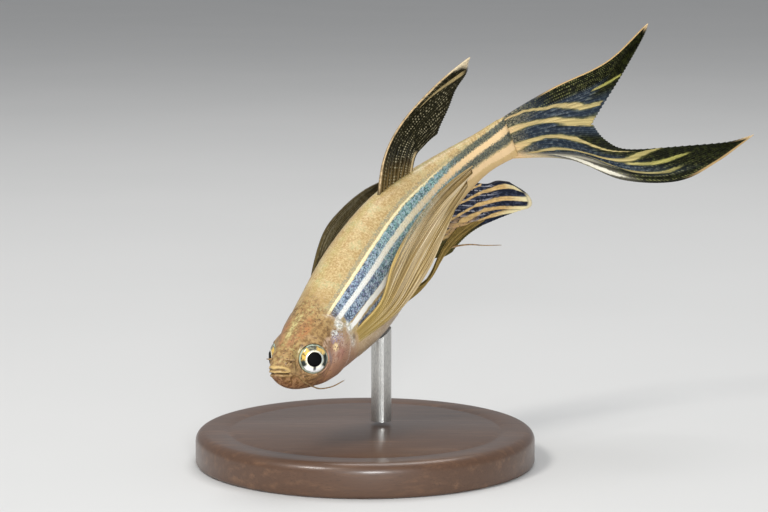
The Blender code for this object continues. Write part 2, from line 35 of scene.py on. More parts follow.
# The body, as in the part's source
BODY_LENGTH = 37.0
BEND_START = 9.0
BEND_TERMS = (-0.1, -0.313, -0.299)
FIN_BEND = -2.2
HEADING = 59.3
DIVE = 32.7
ROLL = -4.5
MIDDLE = 18.0
MIDDLE_PLACE = (0.5, 1.5, 18.0)
STATIONS = np.array((
    (0.6, 1.83, 1.07, 0.3),
    (0.96, 2.23, 0.05, 0.8),
    (1.6, 2.45, -0.85, 1.14),
    (2.5, 2.68, -1.68, 1.55),
    (3.8, 2.9, -2.57, 1.95),
    (6.0, 3.13, -3.56, 2.3),
    (9.0, 3.52, -4.6, 2.56),
    (14.0, 4.15, -5.8, 2.85),
    (18.0, 4.35, -5.9, 2.7),
    (21.5, 4.25, -5.3, 2.42),
    (24.0, 3.85, -4.6, 2.12),
    (28.0, 3.0, -3.2, 1.55),
    (31.5, 2.4, -2.4, 1.1),
    (34.0, 2.1, -2.1, 0.85),
    (37.0, 2.2, -2.3, 0.6),
))
SNOUT = STATIONS[0, 0]
WIDEST = 0.56
SIDE_ROUND = 0.92
BACK_ROUND = 0.94
BELLY_PINCH = 0.1
MOUTH_LINE = ((0.3, 1.92), (0.62, 1.8), (0.83, 1.56), (1.0, 1.42), (1.4, 1.12))
FOLD_LINE = ((0.3, 2.15), (0.72, 2.03), (0.92, 2.0), (1.06, 1.84), (1.3, 1.48))
GILL_SLIT = ((7.6, 2.6), (8.0, 1.9), (8.6, 0.4), (8.5, -1.2), (7.8, -2.7), (6.7, -3.7), (5.9, -4.6))
EYE_PLACE = (3.84, 1.735, 0.71)
EYE_RADIUS = 1.25
EYE_DEPTH = 0.8
EYE_LOOK = (-0.56, 0.74, 0.37)
EYE_RIM = 0.28  # how far the eye's edge stands over its middle point
# How far out each pectoral fin stands, its share of the left one's spread, and its droop
PECTORAL_SET = {"left": (3.9, 1.0, 0.0), "right": (3.7, 0.2, 0.13)}
BASE_RADIUS = 15.0
BASE_HEIGHT = 3.0

SIDES = (("left", -1.0), ("right", 1.0))

# The looks' own sizes, millimetres
SKIN_INSET = 0.05
HEAD_END = 9.6
HEAD_STEP = 0.085
HEAD_CROWDING = 1.25  # above 1 the skin's rings lie closer at the snout
BODY_STEP = 0.2
ROUND_STEPS = 208
BODY_MAP = 40.0  # length that the body's map spans
SNOUT_ROUND = 0.25
SNOUT_LEVEL = 1.62
REAR_START = 35.8
REAR_LENGTH = 1.2
SCALES_FROM = 7.0
SCALES_TO = 36.6
SCALE_ROWS = 22
SCALE_PITCH = 0.98
SCALE_THICK = 0.03
SCALE_CELLS = 6
SCALE_SHIFT = 0.15  # how far a scale lies behind its place, and its reach, both in pitches
SCALE_REACH = 0.8
SCALE_HALF = 0.6  # half its width, in rows
SCALE_LIFT = 0.012
SCALE_CROWN = 0.01
SCALE_SHARP = 0.8  # radians
EYE_CELLS = (96, 48)
EYE_BACK = 0.7  # how deep the eyeball is behind its edge's plane
PUPIL_RISE = 0.07  # how far the pupil bulges
MAP_EDGE = 0.02
PATCH_HALF = 0.0015  # half of a scale's own patch on the OFBake map
RAY_THICK = 0.3
WEB_THICK = 0.26  # membrane, as a share of a ray
FIN_THINNING = 0.55
THICK_STEPS = 20
TAIL_FIN_ROOT = 35.9
ROOT_SINK = 0.35  # how deep the roots of the fins stand in the body
PECTORAL_SINK = 0.25
PELVIC_SINK = 0.3
FEELER_CELLS = (12, 40)
FEELER_END = 0.06  # share of a feeler that its round tip takes
BASE_BEAD = 0.9

# The camera, from the fit of the body to the photograph
LENS = 127.5
LOOK_DOWN = 8.0
CAMERA_TARGET = (1.66, 33.33, 13.72)
CAMERA_DISTANCE = 272.4

# The stage, metres
FLOOR_WIDTH = 6.0
LIT_PLACE = (0.0, 0.0, 0.018)


# Curves and the bent frame

def hermite(first, second, leaving, arriving, f):
    """Between two rows of points with their slopes, for f from 0 to 1."""
    h = 2 * f ** 3 - 3 * f ** 2 + 1
    out = first * h + second * (1 - h)
    out += leaving * (f ** 3 - 2 * f ** 2 + f)
    return out + arriving * (f ** 3 - f ** 2)


def curve_points(points, t):
    """Smooth curve through equally spaced points, for an array t from 0 to 1."""
    knots = np.asarray(points, float)
    t = np.clip(np.asarray(t, float), 0, 1) * (len(knots) - 1)
    k = np.minimum(t.astype(int), len(knots) - 2)
    padded = np.concatenate([[knots[0] * 2 - knots[1]], knots, [knots[-1] * 2 - knots[-2]]])
    p0, p1, p2, p3 = (padded[k + i] for i in range(4))
    return hermite(p1, p2, (p2 - p0) / 2, (p3 - p1) / 2, (t - k)[..., None])


def profile(s):
    """Back, belly and half width for an array of stations."""
    places, rows = STATIONS[:, 0], STATIONS[:, 1:]
    last = len(places) - 1
    s = np.clip(s, places[0], places[-1])
    k = np.clip(np.searchsorted(places, s, side="right") - 1, 0, last - 1)
    width = (places[k + 1] - places[k])[:, None]
    before = np.maximum(np.arange(last + 1) - 1, 0)
    after = np.minimum(np.arange(last + 1) + 1, last)
    slopes = (rows[after] - rows[before]) / (places[after] - places[before])[:, None]
    f = (s - places[k])[:, None] / width
    return hermite(rows[k], rows[k + 1], slopes[k] * width, slopes[k + 1] * width, f).T


def heading(s):
    way = np.maximum(s - BEND_START, 0) / (BODY_LENGTH - BEND_START)
    near = np.minimum(way, 1.0)
    turn = sum(term * near ** (n + 1) for n, term in enumerate(BEND_TERMS))
    return turn + math.radians(FIN_BEND) * np.maximum(s - BODY_LENGTH, 0)


AXIS_STEP = 0.1
AXIS_S = np.arange(621) * AXIS_STEP
AXIS_TURN = heading(AXIS_S[:-1] + AXIS_STEP / 2)
AXIS_X = np.concatenate([[0], np.cumsum(np.cos(AXIS_TURN)) * AXIS_STEP])
AXIS_Y = np.concatenate([[0], np.cumsum(np.sin(AXIS_TURN)) * AXIS_STEP])

turned = Matrix.Rotation(math.radians(HEADING), 4, "Z") @ Matrix.Rotation(math.radians(-DIVE), 4, "Y")
turned = turned @ Matrix.Rotation(math.radians(ROLL), 4, "X")
POSE = Matrix.Translation(Vector(MIDDLE_PLACE)) @ turned @ Matrix.Translation(Vector((-MIDDLE, 0, 0)))
POSE_ARRAY = np.array(POSE)


def posed(points):
    """World metres from millimetres in the straight frame of the fish."""
    return (points @ POSE_ARRAY[:3, :3].T + POSE_ARRAY[:3, 3]) * MM


def unposed(places):
    """Millimetres in the straight frame from world metres."""
    return (places / MM - POSE_ARRAY[:3, 3]) @ POSE_ARRAY[:3, :3]


def bent(s, y, z):
    """World metres from a place on the bent body."""
    turn = heading(s)
    x = np.interp(s, AXIS_S, AXIS_X) + np.minimum(s, 0)
    x = x - np.sin(turn) * y
    side = np.interp(s, AXIS_S, AXIS_Y) + np.cos(turn) * y
    return posed(np.stack([x, side, z], -1))


def section(s, w, side, grow=0.0):
    """y and z of the skin at station s and way round w."""
    back, belly, half = profile(s)
    level = belly + (back - belly) * WIDEST
    angle = math.pi / 2 - w * math.pi
    c, n = np.abs(np.cos(angle)), np.sin(angle)
    y = (half + grow) * c ** SIDE_ROUND * np.where(n < 0, 1 - BELLY_PINCH * n * n, 1.0)
    reach = np.where(n >= 0, back - level, level - belly) + grow
    z = level + reach * np.sign(n) * np.abs(n) ** np.where(n >= 0, BACK_ROUND, 1.0)
    return y * side, z


def skin_place(s, w, side):
    y, z = section(s, w, side)
    return bent(s, y, z)


def skin_normal(s, w, side):
    """Outward unit normal of the plain skin, from places a little way apart."""
    ends, turn, step = (0.0005, 0.9995), 0.004, 0.05
    round_way = skin_place(s, np.clip(w + turn, *ends), side) - skin_place(s, np.clip(w - turn, *ends), side)
    behind = np.clip(s + step, SNOUT + 2 * step, BODY_LENGTH)
    ahead = np.clip(s - step, SNOUT, BODY_LENGTH - 2 * step)
    along = skin_place(behind, np.clip(w, *ends), side) - skin_place(ahead, np.clip(w, *ends), side)
    normal = np.cross(along, round_way) * np.sign(side)[..., None]
    return normal / np.linalg.norm(normal, axis=-1, keepdims=True)


def round_place(t):
    """Way round w and the side, from a share t of the whole round."""
    return np.where(t < 0.5, 2 * t, 2 - 2 * t), np.where(t < 0.5, 1.0, -1.0)


def rounding(value, start, length):
    """1 up to start, then down to 0 over length, as round as an arc."""
    return np.sqrt(np.clip(1 - (np.maximum(value - start, 0) / length) ** 2, 0, 1))


def rear_round(s):
    """Share of the width that is left where the body's rear end closes."""
    return rounding(s, REAR_START, REAR_LENGTH)


def smooth(value, low, high):
    t = np.clip((value - low) / (high - low), 0, 1)
    return t * t * (3 - 2 * t)


def line_distance(points, line):
    """Distance to a polyline, positive to its left, and the way along it from 0 to 1."""
    line = np.asarray(line, float)
    best = np.full(len(points), 1e9)
    signed = np.zeros(len(points))
    way = np.zeros(len(points))
    count = len(line) - 1
    for k in range(count):
        a, b = line[k], line[k + 1]
        ab = b - a
        t = ((points - a) @ ab) / (ab @ ab)
        inside = np.clip(t, 0, 1)
        gap = points - (a + inside[:, None] * ab)
        distance = np.hypot(gap[:, 0], gap[:, 1])
        cross = ab[0] * (points[:, 1] - a[1]) - ab[1] * (points[:, 0] - a[0])
        nearer = distance < best
        best = np.where(nearer, distance, best)
        signed = np.where(nearer, distance * np.sign(cross), signed)
        way = np.where(nearer, (k + inside) / count, way)
    return signed, way


def bell(value, middle, width):
    return np.exp(-((value - middle) / width) ** 2)


# Meshes

def grid_mesh(name, columns, rows, count=1):
    """Flat grids of the given cells, with their own places as u and v from 0 to 1."""
    bm = bmesh.new()
    for _ in range(count):
        bmesh.ops.create_grid(bm, x_segments=columns, y_segments=rows, size=0.5)
    mesh = bpy.data.meshes.new(name)
    bm.to_mesh(mesh)
    bm.free()
    flat = np.zeros(len(mesh.vertices) * 3, np.float32)
    mesh.vertices.foreach_get("co", flat)
    flat = flat.reshape(-1, 3).astype(float)
    return mesh, flat[:, 0] + 0.5, flat[:, 1] + 0.5


def set_places(mesh, places):
    mesh.vertices.foreach_set("co", np.ascontiguousarray(places, np.float32).ravel())
    mesh.update()


def add_uv(mesh, name, u, v):
    layer = mesh.uv_layers.new(name=name)
    corner = np.zeros(len(mesh.loops), np.int32)
    mesh.loops.foreach_get("vertex_index", corner)
    pairs = np.stack([u[corner], v[corner]], -1).astype(np.float32)
    layer.data.foreach_set("uv", pairs.ravel())


def add_number(mesh, name, values):
    attribute = mesh.attributes.new(name, "FLOAT", "POINT")
    attribute.data.foreach_set("value", np.ascontiguousarray(values, np.float32))


def add_object(name, data):
    item = bpy.data.objects.new(name, data)
    bpy.context.scene.collection.objects.link(item)
    return item


def dress(piece, material, replaced=()):
    """Makes a mesh object a piece of the model and hides the solids that it stands for."""
    piece.data.shade_smooth()
    piece.data.materials.append(material)
    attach(piece, "root")
    if replaced:
        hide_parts(*replaced)


def closed_piece(name, mesh, material, replaced, weld):
    """A piece from a mesh whose seams and poles are welded, over weld metres."""
    bm = bmesh.new()
    bm.from_mesh(mesh)
    bmesh.ops.remove_doubles(bm, verts=bm.verts, dist=weld)
    bmesh.ops.dissolve_degenerate(bm, dist=weld / 2, edges=bm.edges)
    bmesh.ops.recalc_face_normals(bm, faces=bm.faces)
    bm.to_mesh(mesh)
    bm.free()
    piece = add_object(name, mesh)
    dress(piece, material, replaced)
    return piece


def add_wall(piece, thickness, group=""):
    """Makes an open sheet a closed shell, thinner where its vertex group says so."""
    wall = piece.modifiers.new("wall", "SOLIDIFY")
    wall.thickness = thickness * MM
    wall.offset = 0.0
    wall.vertex_group = group
    graph = bpy.context.evaluated_depsgraph_get()
    mesh = bpy.data.meshes.new_from_object(piece.evaluated_get(graph))
    piece.modifiers.clear()
    piece.data = mesh


# Shaders

def maths(operation):
    """A method that adds one Math node."""
    return lambda value, *others: value.math(operation, *others)


class Value:
    """A number carried by a socket. Arithmetic on it adds Math nodes."""

    def __init__(self, paint, socket):
        self.paint = paint
        self.socket = socket

    def math(self, operation, *others):
        return self.paint.node("ShaderNodeMath", {"operation": operation}, [self, *others])

    def __rsub__(self, other):
        return self.paint.node("ShaderNodeMath", {"operation": "SUBTRACT"}, [other, self])

    __add__ = __radd__ = maths("ADD")
    __sub__ = maths("SUBTRACT")
    __mul__ = __rmul__ = maths("MULTIPLY")
    __truediv__ = maths("DIVIDE")
    __pow__ = maths("POWER")
    high = maths("MAXIMUM")
    low = maths("MINIMUM")
    abs = maths("ABSOLUTE")
    root = maths("SQRT")
    sine = maths("SINE")
    part = maths("FRACT")

    def rise(self, low, high):
        """0 below low and 1 above high, smooth between; falls where high is below low."""
        if low > high:
            return 1 - self.rise(high, low)
        inputs = {"Value": self, "From Min": low, "From Max": high}
        return self.paint.node("ShaderNodeMapRange", {"interpolation_type": "SMOOTHSTEP"}, inputs)

    def band(self, middle, half, soft):
        """1 within half of the middle, falling to 0 over soft."""
        return (self - middle).abs().rise(half + soft, half - soft)


def set_stops(ramp, stops):
    while len(ramp.elements) < len(stops):
        ramp.elements.new(0.5)
    for element, (place, height) in zip(ramp.elements, stops):
        element.position = place
        element.color = (height, height, height, 1)


class Paint:
    """A material built node by node."""

    def __init__(self, name):
        self.material = bpy.data.materials.new(name)
        self.material.use_nodes = True
        self.tree = self.material.node_tree
        self.tree.nodes.clear()
        self.output = self.tree.nodes.new("ShaderNodeOutputMaterial")

    def node(self, kind, settings=None, inputs=None, output=0):
        made = self.tree.nodes.new(kind)
        for key, value in (settings or {}).items():
            if key == "stops":
                set_stops(made.color_ramp, value)
            else:
                setattr(made, key, value)
        pairs = enumerate(inputs) if isinstance(inputs, list) else (inputs or {}).items()
        for key, value in pairs:
            self.feed(made.inputs[key], value)
        return Value(self, made.outputs[output])

    def feed(self, socket, value):
        if isinstance(value, Value):
            self.tree.links.new(value.socket, socket)
        elif isinstance(value, tuple) and socket.type == "RGBA":
            socket.default_value = (*value, 1)
        else:
            socket.default_value = value

    def millimetres(self):
        """Object coordinates in millimetres."""
        place = self.node("ShaderNodeTexCoord", output="Object")
        return self.node("ShaderNodeVectorMath", {"operation": "SCALE"}, {0: place, "Scale": 1 / MM})

    def uv(self, name):
        place = self.node("ShaderNodeUVMap", {"uv_map": name})
        return (self.node("ShaderNodeSeparateXYZ", None, [place], axis) for axis in "XY")

    def number(self, name):
        return self.node("ShaderNodeAttribute", {"attribute_name": name}, output="Fac")

    def stretched(self, vector, scale):
        return self.node("ShaderNodeVectorMath", {"operation": "MULTIPLY"}, [vector, scale])

    def joined(self, x, y, z=0.0):
        return self.node("ShaderNodeCombineXYZ", None, [x, y, z])

    def noise(self, vector, scale, detail=2.0, roughness=0.5):
        inputs = {"Vector": vector, "Scale": scale, "Detail": detail, "Roughness": roughness}
        return self.node("ShaderNodeTexNoise", None, inputs, "Fac")

    def cells(self, vector, scale):
        """Distance to the middle of a cell."""
        return self.node("ShaderNodeTexVoronoi", None, {"Vector": vector, "Scale": scale}, "Distance")

    def cell_values(self, vector, scale, channel):
        """A value of its own for each cell."""
        cells = self.node("ShaderNodeTexVoronoi", None, {"Vector": vector, "Scale": scale}, "Color")
        return self.node("ShaderNodeSeparateColor", None, [cells], channel)

    def curve(self, value, stops):
        """A number that follows (place, height) stops along a value."""
        ramp = self.node("ShaderNodeValToRGB", {"stops": stops}, {"Fac": value})
        return self.node("ShaderNodeSeparateColor", None, [ramp], "Red")

    def mix(self, first, second, share):
        """The second colour over the first, by share."""
        return self.node("ShaderNodeMix", {"data_type": "RGBA"}, {0: share, 6: first, 7: second}, 2)

    def layers(self, ground, coats):
        """Coats of colour over a ground, one after the other, each by its share."""
        for colour, share in coats:
            ground = self.mix(ground, colour, share)
        return ground

    def bump(self, height, distance, strength):
        inputs = {"Height": height, "Distance": distance * MM, "Strength": strength}
        return self.node("ShaderNodeBump", None, inputs)

    def surface(self, **sockets):
        inputs = {key.replace("_", " "): value for key, value in sockets.items()}
        made = self.node("ShaderNodeBsdfPrincipled", None, inputs)
        self.tree.links.new(made.socket, self.output.inputs["Surface"])
        return self.material


def skin_paint():
    """Back, stripes, belly and head, shared by the skin and the scales."""
    paint = Paint("painted_skin")
    u, w_round = paint.uv("body")
    s = u * BODY_MAP
    w = (1 - (1 - w_round.abs() * 2).abs()).abs()
    place = paint.millimetres()
    grain = paint.noise(place, 5.0, 3.0)
    shake = grain - 0.5
    soft = paint.noise(place, 0.9)
    mottled = paint.noise(place, 6.5, 2.0, 0.6)
    patchy = paint.noise(place, 2.6, 3.0, 0.6)
    fleck = paint.cell_values(place, 8.5, "Red")
    dots = paint.cells(place, 7.0)
    edge = paint.number("edge")
    wave = w + (paint.noise(place, 1.6) - 0.5) * 0.012 + shake * 0.006
    wave = wave + (mottled - 0.5) * s.rise(17, 33) * 0.1
    blur = s.rise(20, 33) * 0.022 + 0.008

    def track(*stops):
        """A height on the flank that changes with the station."""
        return paint.curve(u, [(s0 / BODY_MAP, w0) for s0, w0 in stops])

    def over(value, limit, soft_edge=blur):
        return ((value - limit) / soft_edge + 0.5).high(0.0).low(1.0)

    def blob(s0, w0, rs, rw, hard=0.3):
        """A soft spot round station s0 and way round w0."""
        gap = (((s - s0) / rs) ** 2 + ((w + (soft - 0.5) * 0.03 - w0) / rw) ** 2).root()
        return gap.rise(1.0, hard)

    # Back: gold tan, greyer towards the tail, mottled with specks
    back = paint.mix((0.52, 0.38, 0.175), (0.4, 0.255, 0.095), grain.rise(0.35, 0.7))
    streak = w.rise(0.06, 0.0) * (0.5 + 0.5 * soft.rise(0.4, 0.6))
    specks = dots.rise(0.28, 0.14) * fleck.rise(0.55, 0.75)
    tail_grey = s.rise(27, 34) * wave.rise(0.13, 0.22)
    back = paint.layers(back, [
        ((0.56, 0.45, 0.23), soft.rise(0.4, 0.7) * 0.6),
        ((0.42, 0.36, 0.12), streak * 0.55),
        ((0.2, 0.12, 0.05), specks * 0.55),
        ((0.34, 0.22, 0.085), mottled.rise(0.53, 0.64) * 0.6),
        ((0.7, 0.55, 0.33), mottled.rise(0.46, 0.37) * 0.5),
        ((0.44, 0.45, 0.24), soft.rise(0.52, 0.6) * grain.rise(0.5, 0.58) * 0.45),
        ((0.16, 0.16, 0.1), tail_grey * (0.35 + 0.5 * grain.rise(0.4, 0.65))),
    ])

    # Belly: cream and pink tan
    belly = paint.mix((0.6, 0.43, 0.23), (0.46, 0.29, 0.14), soft.rise(0.35, 0.7))
    belly = paint.layers(belly, [
        ((0.34, 0.22, 0.11), w.rise(0.7, 0.86) * s.rise(26, 18) * 0.8),
        ((0.78, 0.66, 0.46), mottled.rise(0.52, 0.62) * s.rise(24, 14) * 0.4),
        ((0.62, 0.42, 0.17), s.rise(22, 31) * 0.85),
    ])
    colour = paint.mix(back, belly, wave.rise(0.54, 0.62))

    # Dark stripes: slate blue with bright and dark flecks, teal towards the tail
    slate = paint.mix((0.15, 0.205, 0.295), (0.2, 0.38, 0.38), s.rise(12, 20))
    rear = paint.mix((0.145, 0.132, 0.075), (0.04, 0.038, 0.028), paint.noise(place, 8.5).rise(0.44, 0.56))
    slate = paint.layers(slate, [
        ((0.5, 0.64, 0.76), fleck.rise(0.62, 0.7) * 0.75),
        ((0.42, 0.7, 0.62), fleck.rise(0.8, 0.9) * s.rise(12, 20) * 0.8),
        ((0.28, 0.24, 0.46), fleck.rise(0.18, 0.05) * s.rise(24, 16) * 0.7),
        ((0.045, 0.058, 0.075), fleck.rise(0.46, 0.42) * fleck.rise(0.2, 0.25) * 0.7),
        ((0.055, 0.06, 0.065), s.rise(10.5, 7.8) * grain.rise(0.44, 0.56) * 0.7),
        (rear, s.rise(26, 32) * 0.93),
    ])
    middle_line = track((7.5, 0.372), (18, 0.372), (25.6, 0.394), (33.3, 0.376), (37, 0.36))
    middle_half = track((7.5, 0.0225), (14, 0.02), (20, 0.023), (25.6, 0.032), (30, 0.047), (33.3, 0.058),
                        (37, 0.066))
    upper_edge = track((7.5, 0.284), (20, 0.284), (26, 0.278), (30, 0.245), (33, 0.19), (37, 0.12))
    lower_edge = track((8.6, 0.478), (20, 0.478), (28, 0.492), (33, 0.552), (37, 0.565))
    under_line = track((8.6, 0.515), (11.8, 0.497), (20, 0.498), (28, 0.53), (32, 0.614), (35.1, 0.652),
                       (37, 0.66))
    under_half = track((8.6, 0.019), (14, 0.0175), (22, 0.018), (28, 0.028), (32, 0.048), (35, 0.066))
    first = over(wave, upper_edge) * (s + shake * 1.2).rise(7.6, 8.1) * over(middle_line, wave)
    second = over(wave, middle_line) * (s + shake).rise(8.6, 9.1) * over(lower_edge, wave)
    third = wave.band(0.558, 0.026, 0.009) * (s + shake).rise(9.6, 10.4) * s.rise(28, 24)
    dark = first.high(second).high(third)
    grey = (wave - upper_edge + 0.047).abs().rise(0.024, 0.01) * s.rise(7.6, 8.4) * s.rise(31, 26)
    colour = paint.layers(colour, [
        ((0.27, 0.29, 0.22), grey * mottled.rise(0.4, 0.58) * 0.7),
        (slate, dark),
    ])

    # Light stripes: white in front, cream, then peach on the tail's stalk
    pale = paint.mix((1.0, 0.985, 0.92), (1.0, 0.92, 0.68), s.rise(13, 22))
    pale = paint.mix(pale, (0.82, 0.58, 0.31), s.rise(20, 30))
    middle = over(middle_half, (wave - middle_line).abs()) * s.rise(7.4, 8.2)
    under = over(under_half, (wave - under_line).abs()) * s.rise(8.6, 9.4)
    lowest = wave.band(0.603, 0.013, 0.008) * s.rise(10.0, 11.5) * s.rise(25, 19)
    upper_half = track((7, 0.0135), (20, 0.011), (28, 0.008))
    upper = over(upper_half, (wave - upper_edge + 0.0155).abs(), 0.007) * s.rise(6.9, 7.8) * s.rise(31, 26)
    colour = paint.layers(colour, [
        ((0.93, 0.82, 0.5), upper * (0.7 + 0.3 * mottled.rise(0.62, 0.5))),
        (pale, middle.high(under)),
        ((0.8, 0.7, 0.48), lowest * 0.6),
    ])

    # Head: pink tan with fine dark dots
    head = (s + (w - 0.35).abs() * -4.0 + shake * 1.8 + (soft - 0.5) * 1.5).rise(9.0, 6.2)
    broken = 0.35 + 0.65 * patchy.rise(0.42, 0.56)
    face = paint.mix((0.21, 0.115, 0.042), (0.4, 0.25, 0.1), patchy.rise(0.36, 0.62))
    ridge = (w - 0.012 - (s - 5.2).abs() * 0.006).abs().rise(0.022, 0.008) * s.band(5.2, 1.4, 0.5)
    freckles = paint.cells(place, 4.6)
    chance = paint.cell_values(place, 4.6, "Green")
    dotted = freckles.rise(0.34, 0.16) * chance.rise(0.38, 0.5) * (0.35 + soft.rise(0.35, 0.6))
    low = w.rise(0.5, 0.6)
    under_jaw = w.rise(0.48, 0.6) * s.rise(6.2, 4.6)
    pink = blob(5.7, 0.43, 1.1, 0.055).high(blob(6.2, 0.6, 0.9, 0.08) * 0.7)
    face = paint.layers(face, [
        ((0.46, 0.41, 0.16), grain.rise(0.52, 0.64) * w.rise(0.34, 0.1) * 0.5),
        ((0.4, 0.155, 0.055), blob(5.3, 0.15, 1.9, 0.1) * broken * 0.75),
        ((0.4, 0.17, 0.08), blob(3.7, 0.085, 1.0, 0.08) * broken * 0.65),
        ((0.6, 0.54, 0.24), ridge * broken * 0.7),
        ((0.44, 0.4, 0.16), blob(3.2, 0.3, 0.9, 0.09) * broken * 0.6),
        ((0.42, 0.22, 0.145), w.rise(0.42, 0.52) * s.rise(3.2, 4.6) * 0.85),
        ((0.62, 0.44, 0.34), blob(7.0, 0.52, 1.0, 0.12) * patchy.rise(0.46, 0.58) * 0.7),
        ((0.4, 0.14, 0.1), blob(6.7, 0.61, 0.75, 0.07) * broken * 0.8),
        ((0.27, 0.2, 0.2), blob(5.4, 0.57, 0.4, 0.12) * 0.75),
        ((0.19, 0.088, 0.028), s.rise(2.6, 1.6) * low * (0.6 + 0.4 * broken)),
        ((0.36, 0.2, 0.09), s.rise(2.4, 1.5) * w.rise(0.56, 0.64) * patchy.rise(0.46, 0.58) * 0.7),
        ((0.09, 0.04, 0.02), s.rise(3.4, 2.4) * low * patchy.rise(0.5, 0.4) * grain.rise(0.5, 0.6) * 0.8),
        ((0.2, 0.085, 0.04), w.rise(0.66, 0.8) * s.rise(5.5, 4.5) * 0.7),
        ((0.07, 0.035, 0.02), dotted * 0.75),
        ((0.12, 0.06, 0.03), dots.rise(0.3, 0.12) * fleck.rise(0.3, 0.45) * 0.5),
        ((0.44, 0.24, 0.115), under_jaw * patchy.rise(0.47, 0.57) * 0.65),
        ((0.045, 0.018, 0.01), under_jaw * freckles.rise(0.32, 0.16) * chance.rise(0.3, 0.4) * 0.8),
        ((0.62, 0.43, 0.33), pink * patchy.rise(0.42, 0.56) * 0.7),
    ])
    colour = paint.mix(colour, face, head)

    # Pale mottling where the light stripes reach the gill cover, painted shade and gold round the mouth
    joint = blob(7.95, 0.4, 0.75, 0.075, 0.4).high(blob(8.75, 0.5, 0.65, 0.06, 0.4))
    joint = joint.high(blob(8.7, 0.6, 0.5, 0.09) * 0.6)
    mottle = paint.mix((0.62, 0.66, 0.58), (0.95, 0.93, 0.85), grain.rise(0.44, 0.58))
    mottle = paint.mix(mottle, (0.3, 0.34, 0.42), patchy.rise(0.46, 0.38) * 0.5)
    bluish = blob(7.3, 0.45, 1.1, 0.12) * mottled.rise(0.5, 0.6) * head
    silver = blob(6.9, 0.43, 0.6, 0.055) * grain.rise(0.44, 0.54)
    glow = blob(6.4, 0.53, 0.42, 0.045) * grain.rise(0.42, 0.52)
    violet = blob(6.9, 0.47, 0.8, 0.09) * grain.rise(0.5, 0.42) * patchy.rise(0.44, 0.52)
    rim = paint.number("rim")
    crease = paint.number("crease")
    gold = paint.number("lip")
    colour = paint.layers(colour, [
        (mottle, joint * (0.45 + 0.5 * grain.rise(0.42, 0.56))),
        ((0.6, 0.62, 0.66), bluish * 0.6),
        ((0.85, 0.85, 0.8), silver),
        ((0.34, 0.27, 0.4), blob(6.5, 0.47, 0.45, 0.045) * grain.rise(0.56, 0.46) * 0.8),
        ((0.98, 0.76, 0.4), glow),
        ((0.26, 0.21, 0.32), violet * 0.7),
        ((0.72, 0.6, 0.5), rim * (0.2 + 0.55 * grain.rise(0.42, 0.58))),
        # Painted shade in the mouth line, the lip fold, the nostrils and the step behind the gill cover
        ((0.05, 0.022, 0.012), crease * 0.92),
        # Gold on the lips and brow, their own colour with a painted highlight, less on the lower lip
        ((0.7, 0.49, 0.19), gold * (1 - crease) * (0.6 - w.rise(0.5, 0.58) * 0.4)),
        # Painted shade where the pectoral fin's root meets the flank, behind the gill cover
        ((0.2, 0.13, 0.07), blob(9.0, 0.59, 0.35, 0.035, 0.2) * 0.8),
    ])

    # The scales' rims
    colour = paint.mix(colour, (0.24, 0.15, 0.07), edge * (1 - dark) * s.rise(8.5, 12) * 0.05)
    shine = paint.mix(colour, (0.85, 0.9, 0.95), edge * dark * s.rise(32, 26) * 0.25)

    height = (grain * 0.3 + dots * 0.5) * (1 - dark * 0.85)
    rough = 0.42 - 0.14 * dark + shake * 0.2
    metal = dark * s.rise(31, 26) * 0.25 + silver * 0.4
    normal = paint.bump(height, 0.012, 0.35)
    return paint.surface(Base_Color=shine, Roughness=rough, Metallic=metal, Normal=normal,
                         Coat_Weight=0.2, Coat_Roughness=0.2, Specular_IOR_Level=0.35)


